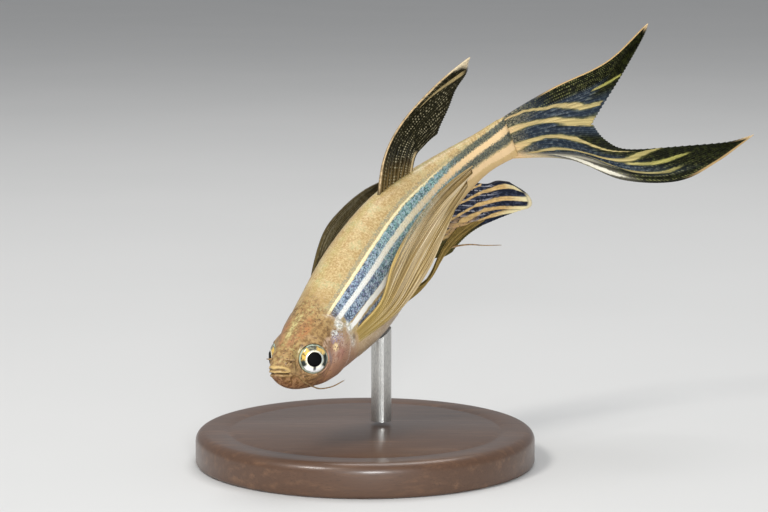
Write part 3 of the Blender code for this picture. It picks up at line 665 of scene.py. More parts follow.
def eye_paint():
    """A silver iris round a black pupil, gold above, dark at its sides, with a clear wet coat."""
    paint = Paint("eye")
    x, y = paint.uv("eye")
    x = x * 2 - 1
    y = y * 2 - 1
    place = paint.millimetres()
    grain = paint.noise(place, 5.0, 3.0)
    shake = grain - 0.5
    r = (x * x + y * y).root() + shake * 0.035
    over = r + 0.001
    iris = paint.mix((0.56, 0.54, 0.42), (0.2, 0.19, 0.12), grain.rise(0.42, 0.66))
    sides = (x.abs() / over).rise(0.7, 0.88) * (y / over).rise(0.6, 0.35)
    top = (y / over).rise(0.62, 0.8) * r.rise(0.63, 0.7)
    gold = ((y * 0.45 - x * 0.89) / over).rise(0.78, 0.93)
    gold = gold.high(((y * 0.8 + x * 0.6) / over).rise(0.86, 0.97) * 0.8)
    bottom = ((y * -1) / over + shake * 0.4).rise(0.54, 0.7) * (r + shake * 0.1).rise(0.93, 0.86)
    cool = (x / over).rise(0.2, 0.9) * (y + 0.4).rise(0, 0.2)
    bright = paint.mix((0.96, 0.9, 0.7), (0.5, 0.55, 0.54), cool)
    uneven = paint.noise(place, 1.3, 2.0).rise(0.38, 0.58)
    outer = paint.mix((0.13, 0.15, 0.1), (0.42, 0.5, 0.4), uneven)
    iris = paint.layers(iris, [
        ((0.02, 0.028, 0.024), sides * r.rise(0.62, 0.69) * r.rise(0.925, 0.875)),
        ((0.045, 0.045, 0.03), top * grain.rise(0.56, 0.46) * 0.9),
        ((0.9, 0.58, 0.13), gold * r.rise(0.55, 0.62) * grain.rise(0.66, 0.48)),
        ((0.95, 0.95, 0.93), bottom),
        (bright, (r + shake * 0.06).band(0.56, 0.04, 0.03)),
        ((0.03, 0.03, 0.025), r.band(0.645, 0.012, 0.02) * y.rise(-0.2, 0.0) * 0.6),
        (outer, r.rise(0.9, 0.945)),
        ((0.05, 0.05, 0.035), r.band(0.895, 0.014, 0.03) * (0.3 + 0.5 * uneven)),
    ])
    notch = (x - 0.03).abs().rise(0.14, 0.05) * (y * -1).rise(0.3, 0.4) * r.rise(0.86, 0.66)
    black = r.rise(0.525, 0.495).high(notch * 0.9)
    colour = paint.mix(iris, (0.001, 0.001, 0.001), black)
    metal = (1 - black) * 0.25 * r.rise(0.93, 0.9)
    return paint.surface(Base_Color=colour, Roughness=0.25 + black * 0.35, Metallic=metal,
                         Coat_Weight=0.5 - black * 0.49, Coat_Roughness=0.04, Specular_IOR_Level=0.08)


def fin_paint(name, colour_of):
    """A fin's material, with the colour and cover that colour_of gives.

    u runs across the fin from its leading edge, v from its root to its tip.
    """
    paint = Paint(name)
    u, v = paint.uv("fin")
    ray = paint.number("ray")
    segments = ((v * 70 + u * 9).part() - 0.5).abs()
    grain = paint.noise(paint.millimetres(), 3.0, 3.0)
    colour, cover = colour_of(paint, u, v, ray, segments, grain)
    height = ray * 0.6 + segments * ray * 0.5 + grain * 0.15
    return paint.surface(Base_Color=colour, Roughness=0.4, Alpha=cover, Normal=paint.bump(height, 0.05, 0.6),
                         Coat_Weight=0.02, Coat_Roughness=0.3, Specular_IOR_Level=0.08)


def drawn_line(paint, u, v, line, grain, sway, widen=1.0):
    """Share of a stripe that follows (v, u, half width) points, a little uneven."""
    middle = paint.curve(v, [(v0, u0) for v0, u0, half in line])
    wide = paint.curve(v, [(v0, half) for v0, u0, half in line]) * widen
    gap = (u - middle + (grain - 0.5) * sway).abs()
    start, end = line[0][0], line[-1][0]
    ends = v.rise(start - 0.03, start + 0.01) * v.rise(end + 0.02, end - 0.02)
    return ((wide * 1.25 - gap) / (wide * 0.5 + 0.0001)).high(0.0).low(1.0) * ends


# Each drawn line has (v, u, half width) points
DORSAL_STREAK = ((0.7, 0.2, 0.02), (0.86, 0.24, 0.03), (0.98, 0.26, 0.04))


def dorsal_fin_colour(paint, u, v, ray, segments, grain):
    """Olive black web, rows of pale dots on the rays and a cream leading edge."""
    web = paint.mix((0.007, 0.006, 0.002), (0.016, 0.014, 0.004), grain.rise(0.4, 0.65))
    rows = ((u * 17 + v * 0.6).part() - 0.5).abs().rise(0.24, 0.1)
    dot = rows * ((v * 40 + u * 6).part() - 0.5).abs().rise(0.3, 0.14)
    colour = paint.mix(web, (0.035, 0.03, 0.012), ray * 0.5)
    pale = paint.mix((0.3, 0.27, 0.15), (0.44, 0.38, 0.24), grain.rise(0.4, 0.6))
    front = u.rise(0.038, 0.024) * v.rise(0.0, 0.12)
    rear = u.band(0.93, 0.02, 0.02) * v.rise(0.42, 0.3)
    tip = (v + u * -0.55 + (grain - 0.5) * 0.08).rise(0.86, 0.93)
    trail = drawn_line(paint, u, v, DORSAL_STREAK, grain, 0.03)
    colour = paint.layers(colour, [
        ((0.2, 0.125, 0.035), v.rise(0.3, 0.06) * (0.35 + 0.65 * ray) * 0.8),
        (pale, dot * grain.rise(0.4, 0.58) * v.rise(1.0, 0.9) * (0.35 + 0.5 * u.rise(0.1, 0.6))),
        ((0.66, 0.48, 0.27), front * (0.55 + grain.rise(0.35, 0.6) * 0.45)),
        ((0.62, 0.46, 0.24), rear * 0.8),
        ((0.74, 0.62, 0.42), tip * 0.9),
        ((0.5, 0.38, 0.18), trail * 0.7),
    ])
    return colour, 0.99 - (1 - ray) * 0.06 * v


# With the strength of each line and how green it turns towards its end
CAUDAL_STRIPES = (
    (((0.05, 0.06, 0.024), (0.16, 0.125, 0.024), (0.26, 0.25, 0.022), (0.46, 0.345, 0.018),
      (0.72, 0.395, 0.012), (0.95, 0.395, 0.008)), 0.9, 0.15),
    (((0.66, 0.29, 0.008), (0.74, 0.292, 0.012), (0.86, 0.295, 0.011), (0.98, 0.29, 0.006)), 0.8, 1.0),
    (((0.0, 0.34, 0.072), (0.1, 0.362, 0.052), (0.2, 0.39, 0.026), (0.33, 0.42, 0.018),
      (0.61, 0.46, 0.018), (0.84, 0.48, 0.022), (1.0, 0.486, 0.034)), 1.0, 0.1),
    (((0.0, 0.785, 0.09), (0.1, 0.7, 0.055), (0.2, 0.65, 0.026), (0.33, 0.62, 0.018),
      (0.55, 0.605, 0.018), (0.71, 0.62, 0.02), (0.78, 0.665, 0.018), (0.9, 0.74, 0.014)), 1.0, 0.1),
    (((0.14, 0.86, 0.03), (0.29, 0.785, 0.02), (0.42, 0.785, 0.017), (0.52, 0.81, 0.015),
      (0.61, 0.825, 0.014), (0.7, 0.82, 0.013), (0.85, 0.79, 0.013), (0.99, 0.78, 0.008)), 0.9, 0.4),
    (((0.42, 0.88, 0.006), (0.5, 0.905, 0.009), (0.55, 0.925, 0.01), (0.61, 0.93, 0.01),
      (0.68, 0.94, 0.009), (0.75, 0.935, 0.006)), 0.65, 0.8),
    (((0.66, 0.85, 0.008), (0.7, 0.858, 0.011), (0.78, 0.875, 0.01), (0.88, 0.88, 0.005)), 0.9, 0.9),
)
CAUDAL_GLINT = ((0.24, 0.93, 0.008), (0.31, 0.945, 0.02), (0.37, 0.965, 0.018), (0.44, 0.975, 0.006))


def caudal_fin_colour(paint, u, v, ray, segments, grain):
    """Navy and cream bands, olive black lobes and cream tips, with painted highlights on the lower lobe."""
    navy = paint.mix((0.02, 0.03, 0.046), (0.08, 0.105, 0.125), grain.rise(0.46, 0.66) * 0.7)
    olive = paint.mix((0.006, 0.007, 0.002), (0.022, 0.026, 0.006), grain.rise(0.45, 0.68))
    outer = u.rise(0.29, 0.2).high((u - v * 0.12).rise(0.82, 0.9))
    outer = outer.high(v.rise(0.6, 0.8) * (u - 0.47).abs().rise(0.08, 0.14))
    base = paint.mix(navy, olive, outer * v.rise(0.15, 0.35))
    # Painted highlight on the curved lower lobe
    low = u.rise(0.86, 0.92) * v.rise(0.05, 0.14) * v.rise(0.52, 0.38)
    foot = v.rise(0.26, 0.06)
    speck = paint.noise(paint.joined(u * 60, v * 60), 1.0, 2.0)
    root = paint.mix((0.055, 0.056, 0.046), (0.3, 0.27, 0.18), speck.rise(0.42, 0.6))
    base = paint.layers(base, [
        # Painted highlight on the lower lobe, stronger on the rays
        ((0.36, 0.33, 0.27), low * (0.25 + 0.7 * ray)),
        (root, foot * 0.95),
        ((0.66, 0.53, 0.34), v.rise(0.22, 0.1) * u.rise(0.8, 0.92) * 0.8),
        ((0.76, 0.54, 0.3), (v + (grain - 0.5) * 0.06).rise(0.13, 0.03) * u.rise(0.66, 0.76) * 0.9),
    ])
    dot = ray.rise(0.45, 0.8) * segments.rise(0.26, 0.12)
    dots = dot * grain.rise(0.36, 0.6) * v.rise(0.92, 0.6) * (0.3 + 0.35 * outer)
    colour = paint.mix(base, paint.mix((0.46, 0.47, 0.42), (0.36, 0.35, 0.13), outer), dots)
    cream = paint.mix((0.8, 0.57, 0.31), (0.56, 0.44, 0.2), v.rise(0.0, 0.22))
    for line, strength, green in CAUDAL_STRIPES:
        rim = drawn_line(paint, u, v, line, grain, 0.014, 1.45)
        stripe = paint.mix(cream, (0.4, 0.38, 0.1), v.rise(0.5, 0.85) * green)
        colour = paint.layers(colour, [
            ((0.14, 0.14, 0.035), rim * strength * 0.5),
            (stripe, drawn_line(paint, u, v, line, grain, 0.01) * strength),
        ])
    glint = drawn_line(paint, u, v, CAUDAL_GLINT, grain, 0.02)
    margin = (u.rise(0.01, 0.004) * v.rise(0.22, 0.35)).high(u.rise(0.988, 0.995) * v.rise(0.62, 0.75))
    tips = v.rise(0.965, 0.99) * (u - 0.5).abs().rise(0.42, 0.48)
    colour = paint.layers(colour, [
        ((0.85, 0.8, 0.66), glint * 0.9),
        ((0.66, 0.44, 0.2), margin * 0.9),
        ((0.7, 0.52, 0.3), tips * 0.9),
    ])
    return colour, 0.99 - (1 - ray) * 0.05 * v


ANAL_STRIPES = (
    ((0.0, 0.88, 0.02), (0.03, 0.885, 0.025), (0.12, 0.94, 0.02), (0.21, 0.985, 0.02)),
    ((0.06, 0.7, 0.02), (0.12, 0.745, 0.026), (0.17, 0.8, 0.028), (0.29, 0.88, 0.028),
     (0.53, 0.9, 0.032), (0.82, 0.91, 0.036), (0.95, 0.88, 0.05)),
    ((0.06, 0.46, 0.02), (0.12, 0.515, 0.022), (0.19, 0.585, 0.025), (0.29, 0.685, 0.028),
     (0.42, 0.715, 0.03), (0.58, 0.72, 0.03), (0.73, 0.725, 0.028), (0.95, 0.735, 0.035)),
    ((0.12, 0.31, 0.02), (0.2, 0.37, 0.025), (0.22, 0.47, 0.05), (0.33, 0.52, 0.055),
     (0.43, 0.6, 0.032), (0.58, 0.59, 0.028), (0.79, 0.57, 0.03), (0.97, 0.59, 0.04)),
    ((0.2, 0.27, 0.03), (0.36, 0.37, 0.06), (0.55, 0.42, 0.05), (0.64, 0.47, 0.04),
     (0.78, 0.49, 0.04), (1.0, 0.515, 0.03)),
)


def anal_fin_colour(paint, u, v, ray, segments, grain):
    """Navy and cream bands along the rays, with a cream rounded margin."""
    navy = paint.mix((0.012, 0.016, 0.03), (0.05, 0.06, 0.095), grain.rise(0.46, 0.66))
    white = ray.rise(0.45, 0.8) * segments.rise(0.34, 0.18) * grain.rise(0.4, 0.5) * v.rise(0.6, 0.42)
    colour = paint.mix(navy, (0.62, 0.62, 0.68), white * 0.85)
    fold = u.band(0.4, 0.1, 0.08) * v.band(0.26, 0.14, 0.1) * grain.rise(0.36, 0.5)
    colour = paint.layers(colour, [
        ((0.1, 0.085, 0.025), u.rise(0.38, 0.26)),
        ((0.66, 0.42, 0.2), fold * 0.85),
    ])
    cream = paint.mix((0.7, 0.48, 0.21), (0.58, 0.38, 0.155), grain.rise(0.4, 0.6))
    cream = paint.mix(cream, (0.8, 0.7, 0.42), v.rise(0.65, 0.95))
    for line in ANAL_STRIPES:
        colour = paint.mix(colour, cream, drawn_line(paint, u, v, line, grain, 0.02))
    edge = v.rise(0.94, 0.97) * u.rise(0.86, 0.76) * u.rise(0.46, 0.52)
    colour = paint.layers(colour, [
        ((0.76, 0.66, 0.42), edge * 0.9),
        ((0.03, 0.028, 0.03), u.rise(0.965, 0.99) * v.rise(0.3, 0.5) * 0.9),
    ])
    return colour, 0.985


def clear_fin_colour(paint, u, v, ray, segments, grain):
    """A clear tan web between golden rays, with a painted highlight along its leading edge near the root."""
    streaks = paint.noise(paint.joined(u * 26, v * 1.6), 1.0, 3.0, 0.6)
    broad = paint.noise(paint.joined(u * 7, v * 1.1, 3.0), 1.0, 2.0)
    hairs = paint.noise(paint.joined(u * 70, v * 2.2, 7.0), 1.0, 2.0)
    web = paint.mix((0.27, 0.18, 0.065), (0.42, 0.29, 0.12), streaks.rise(0.4, 0.6))
    colour = paint.mix(web, (0.66, 0.48, 0.22), ray.rise(0.3, 0.8) * (0.3 + 0.7 * streaks.rise(0.36, 0.6)))
    # Painted highlight along the leading edge near the root, and a fainter one along the rear margin
    edge = (u.rise(0.05, 0.02) * v.rise(0.5, 0.34)).high(u.rise(0.97, 0.99) * 0.8)
    colour = paint.layers(colour, [
        ((0.86, 0.74, 0.54), streaks.rise(0.55, 0.64) * 0.8),
        ((0.11, 0.08, 0.035), streaks.rise(0.42, 0.35) * 0.65),
        ((0.58, 0.46, 0.3), broad.rise(0.52, 0.62) * 0.45),
        ((0.98, 0.8, 0.52), hairs.rise(0.56, 0.66) * broad.rise(0.44, 0.56) * 0.7),
        ((0.16, 0.12, 0.06), hairs.rise(0.42, 0.34) * 0.6),
        ((0.42, 0.3, 0.06), v.rise(0.35, 0.1) * 0.5),
        ((0.62, 0.44, 0.16), edge * 0.8),
    ])
    clear = (u + (streaks - 0.5) * 0.25).rise(0.46, 0.16) * v.band(0.56, 0.2, 0.14) * (1 - edge)
    return colour, 0.95 - clear * 0.8 * (1 - ray * 0.45)


def shaded_fin_colour(paint, u, v, ray, segments, grain):
    """The same fin on the far side, darkened with painted shade."""
    colour = clear_fin_colour(paint, u, v, ray, segments, grain)[0]
    # Painted shade: a dark grey laid over most of the far fin's colour
    grey = paint.mix((0.035, 0.028, 0.012), (0.16, 0.14, 0.085), ray.rise(0.35, 0.8) * grain.rise(0.4, 0.6))
    return paint.mix(colour, grey, 0.86), 0.97


def olive_fin_colour(paint, u, v, ray, segments, grain):
    web = paint.mix((0.055, 0.04, 0.01), (0.12, 0.085, 0.022), grain.rise(0.4, 0.65))
    colour = paint.mix(web, (0.42, 0.28, 0.085), ray.rise(0.3, 0.8) * 0.7)
    return colour, 0.92 + ray.rise(0.2, 0.8) * 0.06


def wood_paint():
    paint = Paint("stained_wood")
    place = paint.millimetres()
    drawn = paint.stretched(place, (0.06, 1.0, 1.0))
    grain = paint.noise(drawn, 1.1, 6.0, 0.6)
    fine = paint.noise(paint.stretched(place, (0.25, 4.0, 4.0)), 2.2, 4.0, 0.7)
    rings = (grain * 9).sine() * 0.5 + 0.5
    colour = paint.mix((0.085, 0.04, 0.02), (0.17, 0.085, 0.042), rings)
    colour = paint.mix(colour, (0.04, 0.018, 0.01), fine.rise(0.52, 0.72) * 0.6)
    return paint.surface(Base_Color=colour, Roughness=0.34 + fine * 0.18, Coat_Weight=0.4,
                         Coat_Roughness=0.2, Normal=paint.bump(fine + rings * 0.3, 0.03, 0.35))


def steel_paint():
    paint = Paint("brushed_steel")
    place = paint.millimetres()
    lines = paint.noise(paint.stretched(place, (6.0, 6.0, 0.5)), 6.0, 3.0)
    colour = paint.mix((0.62, 0.61, 0.58), (0.42, 0.42, 0.41), lines.rise(0.4, 0.65))
    return paint.surface(Base_Color=colour, Roughness=lines * 0.25 + 0.2, Metallic=1.0,
                         Normal=paint.bump(lines, 0.01, 0.4))


def floor_paint():
    paint = Paint("pale_floor")
    place = paint.millimetres()
    cloud = paint.noise(place, 0.02, 3.0)
    colour = paint.mix((0.64, 0.64, 0.63), (0.68, 0.675, 0.665), cloud)
    return paint.surface(Base_Color=colour, Roughness=0.75)


# Skin

def head_relief(s, y, z):
    """Outward move of the skin for the mouth, nostrils and gill covers, with its painted shade, gold and
    rims.
    """
    flat = np.stack([s, z], -1)
    above, along = line_distance(flat, MOUTH_LINE)
    near = smooth(s, 1.75, 1.4)
    mouth = bell(above, 0.0, 0.06) * smooth(along, 1.0, 0.9)
    over, far = line_distance(flat, FOLD_LINE)
    fold = bell(over, 0.0, 0.05) * smooth(far, 1.0, 0.8)
    lip = bell(above, 0.13, 0.09) * smooth(along, 1.0, 0.85)
    chin = bell(above, -0.17, 0.12) * near
    brow = bell(over, 0.17, 0.12) * near
    move = -0.3 * mouth - 0.16 * fold + 0.06 * lip + 0.07 * chin + 0.06 * brow

    slit = line_distance(flat, GILL_SLIT)[0]
    inside = smooth(-slit, 0.0, 0.08)
    on_cover = smooth(z, 2.7, 2.0) * smooth(z, -4.4, -3.9)
    plate = inside * smooth(-slit, 3.2, 1.2) * on_cover
    step = bell(slit, 0.06, 0.09) * on_cover * (slit > -0.02)
    bone = bell(-slit, 2.55, 0.16) * on_cover * smooth(z, 1.8, 1.0)
    move += 0.16 * plate - 0.16 * step - 0.07 * bone

    pit = np.zeros_like(s)
    for s0, w0, size in ((2.02, 0.3, 0.13), (1.72, 0.262, 0.1)):
        y0, z0 = section(np.array([s0]), np.array([w0]), np.array([1.0]))
        d = np.sqrt((s - s0) ** 2 + (np.abs(y) - y0[0]) ** 2 + (z - z0[0]) ** 2)
        move += -0.24 * smooth(d, size, size * 0.5) + 0.06 * bell(d, size * 1.35, size * 0.4)
        pit = np.maximum(pit, smooth(d, size * 0.95, size * 0.5))
    # Painted shade in the mouth line, the lip fold, the nostril pits and the step behind the gill cover
    crease = np.clip(mouth * 1.3 + fold * 0.8 + pit * 0.9 + step * 0.3, 0, 1)
    # Gold on the lip and brow bands: their colour with a painted highlight on these raised bands
    gold = np.clip((lip * 1.1 + brow * 1.2) * near, 0, 1)
    rim = bell(-slit, 0.16, 0.16) * on_cover * (slit < 0)
    return move, {"crease": crease, "lip": gold, "rim": rim}


def eye_hollow(places, side):
    """Draws the skin round each eye up to its edge, and lets it drop behind the eyeball."""
    for half in (-1.0, 1.0):
        axis = np.array(EYE_LOOK) * (1, half, 1)
        gap = places - np.array(EYE_PLACE) * (1, half, 1)
        depth = gap @ axis
        r = np.sqrt(np.maximum((gap ** 2).sum(-1) - depth ** 2, 0))
        facing = (depth > -0.9) & (side == half)
        share = smooth(r, EYE_RADIUS + 0.85, EYE_RADIUS + 0.06)
        goal = EYE_RIM + 0.1 * bell(r, EYE_RADIUS + 0.1, 0.13)
        lift = (goal - depth) * share
        sunk = smooth(r, EYE_RADIUS + 0.03, EYE_RADIUS - 0.05)
        lift = lift * (1 - sunk) + (-0.35 - depth) * sunk
        places = places + np.where(facing, lift, 0)[:, None] * axis
    return places


def make_skin(paint):
    """One closed skin from the snout to the root of the tail fin."""
    head_length, body_length = HEAD_END - SNOUT, BODY_LENGTH - HEAD_END
    head_rings, body_rings = int(head_length / HEAD_STEP), int(body_length / BODY_STEP)
    mesh, u, t = grid_mesh("skin", head_rings + body_rings, ROUND_STEPS)
    count = u * (head_rings + body_rings)
    s = SNOUT + head_length * (np.minimum(count, head_rings) / head_rings) ** HEAD_CROWDING
    s += body_length * np.maximum(count - head_rings, 0) / body_rings
    w, side = round_place(t)
    y, z = section(s, w, side, -SKIN_INSET)
    move, marks = head_relief(s, y, z)
    move = skin_normal(s, w, side) * (move * smooth(s, SNOUT, SNOUT + 0.08) * MM)[:, None]
    snout = rounding(-s, -SNOUT - SNOUT_ROUND, SNOUT_ROUND)
    places = bent(s, y * snout * rear_round(s), SNOUT_LEVEL + (z - SNOUT_LEVEL) * snout) + move
    set_places(mesh, posed(eye_hollow(unposed(places), side)))
    add_uv(mesh, "body", s / BODY_MAP, t)
    for name, values in marks.items():
        add_number(mesh, name, values)
    solids = ("head", "lower_jaw", "gill_cover_left", "gill_cover_right", "trunk", "tail")
    closed_piece("skin", mesh, paint, solids, weld=0.000004)


# Scales

def scale_start(w):
    """The station where the scales begin."""
    return 7.2 + 2.2 * smooth(w, 0.25, 0.5) + 0.6 * smooth(w, 0.7, 0.9)


def make_scales(paint):
    """Overlapping scales from the nape to the tail, in two coats."""
    columns = int((SCALES_TO - SCALES_FROM) / SCALE_PITCH)
    roots = np.array([(SCALES_FROM + j * SCALE_PITCH, ((k + 0.5 * (j % 2)) / SCALE_ROWS) % 1.0)
                      for j in range(columns) for k in range(SCALE_ROWS)])
    root_w, root_side = round_place(roots[:, 1])
    covered = roots[:, 0] > scale_start(root_w)
    for word, half in reversed(SIDES):
        s0, t0 = roots[covered & (root_side == half)].T[:, :, None]
        mesh, u, v = grid_mesh("scales_" + word, SCALE_CELLS, SCALE_CELLS, len(s0))
        a, b = (item.reshape(len(s0), -1) * 2 - 1 for item in (u, v))
        along = a * np.sqrt(1 - b * b / 2.6)
        across = b * np.sqrt(1 - a * a / 2.2)
        s = np.clip(s0 + SCALE_PITCH * (SCALE_SHIFT + SCALE_REACH * along), 0, BODY_LENGTH - 0.1)
        round_way = t0 + across * SCALE_HALF / SCALE_ROWS
        w, side = round_place(round_way % 1.0)
        start = smooth(s0 - scale_start(round_place(t0)[0]), 0.0, 2.5)
        lift = SCALE_LIFT + 0.008 * (1 + start) * smooth(along, -1.0, 1.0) - SCALE_CROWN * across ** 2
        s, w, side, lift = (item.ravel() for item in (s, w, side, lift))
        y, z = section(s, w, side, -SKIN_INSET)
        set_places(mesh, bent(s, y * rear_round(s), z) + skin_normal(s, w, side) * (lift * MM)[:, None])
        add_uv(mesh, "body", s / BODY_MAP, round_way.ravel())
        across_patch = MAP_EDGE + (1 - 2 * MAP_EDGE) * t0 + PATCH_HALF * across
        along_patch = MAP_EDGE + (1 - 2 * MAP_EDGE) * s0 / BODY_MAP + PATCH_HALF * along
        add_uv(mesh, "OFBake", along_patch.ravel(), across_patch.ravel())
        add_number(mesh, "edge", smooth(along, 0.35, 0.95).ravel())
        piece = add_object("scales_" + word, mesh)
        add_wall(piece, SCALE_THICK)
        dress(piece, paint)
        piece.data.set_sharp_from_angle(angle=SCALE_SHARP)


# Eyes

def make_eyes(paint):
    """Two domed eyes. Their paint is laid out upright as the left one is seen from ahead."""
    down = math.radians(LOOK_DOWN)
    axis = np.array(EYE_LOOK) * (1, -1, 1)
    up = np.array((0.0, math.sin(down), math.cos(down))) @ POSE_ARRAY[:3, :3]
    up = up - axis * (up @ axis)
    up /= np.linalg.norm(up)
    across = np.cross(up, axis)
    for word, side in SIDES:
        mesh, u, v = grid_mesh("eye_" + word + "_fine", *EYE_CELLS)
        turn = u * math.tau
        r = np.sin(v * math.pi)
        x, y = r * np.cos(turn), r * np.sin(turn)
        front = np.cos(v * math.pi) > 0
        dome = (EYE_DEPTH - EYE_RIM) * (1 - r ** 2.4) ** 0.6 + PUPIL_RISE * smooth(r, 0.47, 0.4)
        height = EYE_RIM + np.where(front, dome, -EYE_BACK * (1 - r ** 4) ** 0.5)
        points = np.outer(height, axis) + np.outer(EYE_RADIUS * x, across) + np.outer(EYE_RADIUS * y, up)
        points[:, 1] *= -side
        points += np.array(EYE_PLACE) * (1, side, 1)
        set_places(mesh, posed(points))
        add_uv(mesh, "eye", 0.5 + 0.5 * x, 0.5 + 0.5 * y)
        closed_piece("eye_" + word + "_fine", mesh, paint, ("eye_" + word,), weld=0.000002)


# Fins

def fan(lines, u, v):
    """Points over a fin: u across its guide lines, v from root to tip along them."""
    shares = np.array([share for share, line in lines])
    along = np.stack([curve_points(line, v) for share, line in lines])
    last = len(shares) - 1
    k = np.clip(np.searchsorted(shares, u + 1e-9, side="right") - 1, 0, last - 1)
    f = ((u - shares[k]) / (shares[k + 1] - shares[k]))[:, None]
    pick = np.arange(len(u))
    here, after = along[k, pick], along[k + 1, pick]
    before = np.where((k > 0)[:, None], along[np.maximum(k - 1, 0), pick], here * 2 - after)
    beyond = np.where((k + 1 < last)[:, None], along[np.minimum(k + 2, last), pick], after * 2 - here)
    return hermite(here, after, (after - before) / 2, (beyond - here) / 2, f)


def ray_ridges(u, v, rays):
    """How much of a ray lies at a point; each ray forks twice on its way to the tip."""
    x = np.abs((u * rays) % 1.0 - 0.5)
    first = np.abs(x - 0.25 * smooth(v, 0.28, 0.6))
    second = np.abs(first - 0.125 * smooth(v, 0.62, 0.9))
    width = 0.17 - 0.11 * smooth(v, 0.2, 0.85)
    return np.exp(-(second / width) ** 2)


def make_fine_fin(name, lines, rays, cells, length, paint, replaced, sway, straight=False):
    """A thin fin over guide lines, thicker along its rays and its leading edge.

    It has that many cells across a ray and length cells along it. A straight fin doesn't follow
    the body's bend.
    """
    mesh, u, v = grid_mesh(name, rays * cells, length)
    ridge = ray_ridges(u, v, rays)
    tip = 1 - 0.012 * (1 - ridge) * smooth(v, 0.8, 1.0)
    points = fan(lines, u, v * tip)
    points[:, 1] += sway * np.sin((u * 2.3 + v * 1.1) * math.tau) * v
    set_places(mesh, posed(points) if straight else bent(*points.T))
    add_uv(mesh, "fin", u, v)
    add_number(mesh, "ray", ridge)
    spine = np.maximum(ridge, bell(u, 0.0, 0.012))
    share = (WEB_THICK + (1 - WEB_THICK) * spine) * (1 - FIN_THINNING * v)
    levels = np.clip(np.round(share * THICK_STEPS), 1, THICK_STEPS)
    piece = add_object(name, mesh)
    group = piece.vertex_groups.new(name="thickness")
    for level in range(1, THICK_STEPS + 1):
        group.add(np.nonzero(levels == level)[0].tolist(), level / THICK_STEPS, "REPLACE")
    add_wall(piece, RAY_THICK, group.name)
    dress(piece, paint, replaced)


def inner(s, row):
    """A point just inside the back, row 0, or the belly, row 1."""
    return s, float(profile(np.array([s]))[row][0]) + (ROOT_SINK if row else -ROOT_SINK)


def side_width(s, z):
    """Half width of the skin at height z."""
    way = np.linspace(0, 1, 400)
    y, heights = section(np.full(400, s), way, np.ones(400))
    return float(np.interp(-z, -heights, y))


def belly_level(s, y):
    """Height of the underside at y."""
    way = np.linspace(0.5, 1, 300)
    across, heights = section(np.full(300, s), way, np.ones(300))
    return float(np.interp(-y, -across, heights))


# The fins' guide lines in millimetres: their share of the way across the fin, then their points.
# Those of the fins in the middle plane have s and z.
CAUDAL_LINES = (
    (0.0, (TAIL_FIN_ROOT, 1.95), (42, 2.6), (47.5, 3.4), (52.3, 6.2)),
    (0.12, (TAIL_FIN_ROOT, 1.6), (42, 1.9), (47, 2.4), (51.4, 4.8)),
    (0.3, (TAIL_FIN_ROOT, 0.9), (41.5, 0.8), (45.5, 0.9), (48.4, 1.6)),
    (0.48, (TAIL_FIN_ROOT, 0.1), (39.7, -0.5), (42, -1.2), (44.5, -2.3)),
    (0.52, (TAIL_FIN_ROOT, -0.1), (39.7, -0.85), (42, -1.65), (44.4, -2.7)),
    (0.616, (TAIL_FIN_ROOT, -0.45), (39.7, -1.6), (42.3, -3.25), (45.0, -4.6)),
    (0.712, (TAIL_FIN_ROOT, -0.85), (40.45, -2.8), (43.6, -5.35), (46.6, -6.2)),
    (0.808, (TAIL_FIN_ROOT, -1.3), (41.05, -3.9), (45.55, -6.9), (50.8, -7.3)),
    (0.904, (TAIL_FIN_ROOT, -1.65), (41.55, -4.6), (47.6, -9.0), (55.6, -7.8)),
    (1.0, (TAIL_FIN_ROOT, -2.0), (41.2, -5.1), (45.2, -9.3), (50, -11.1), (54.2, -9.8), (58.6, -7.1)),
)
DORSAL_LINES = (
    (0.0, inner(21.4, 0), (23.9, 6.4), (27.0, 7.9), (31.3, 8.7), (36.2, 9.3)),
    (0.33, inner(22.9, 0), (25.5, 6.4), (29.3, 7.5), (35.2, 8.1)),
    (0.66, inner(24.6, 0), (26.9, 5.4), (29.5, 6.1), (33.0, 6.6)),
    (1.0, inner(26.1, 0), (27.4, 4.3), (28.8, 4.5), (30.4, 4.5)),
)
ANAL_LINES = (
    (0.0, inner(23.7, 1), (25.2, -5.8), (27.0, -6.5)),
    (0.25, inner(25.4, 1), (27.6, -5.6), (30.4, -6.3)),
    (0.5, inner(27.4, 1), (30.0, -5.0), (32.6, -6.2), (34.6, -7.5)),
    (0.62, inner(28.6, 1), (31.0, -4.6), (33.8, -6.1), (36.2, -7.8)),
    (0.8, inner(30.1, 1), (32.3, -4.0), (34.4, -5.0), (36.4, -6.5)),
    (1.0, inner(31.8, 1), (33.0, -3.0), (34.1, -3.4), (35.2, -4.3)),
)
# Name, guide lines, rays, cells across a ray, cells along it, solids it stands for, sway
MIDDLE_FINS = (
    ("caudal", CAUDAL_LINES, 19, 16, 96, ("caudal_fin_upper", "caudal_fin_lower"), 0.12),
    ("dorsal", DORSAL_LINES, 10, 16, 90, ("dorsal_fin",), 0.1),
    ("anal", ANAL_LINES, 14, 14, 64, ("anal_fin",), 0.12),
)
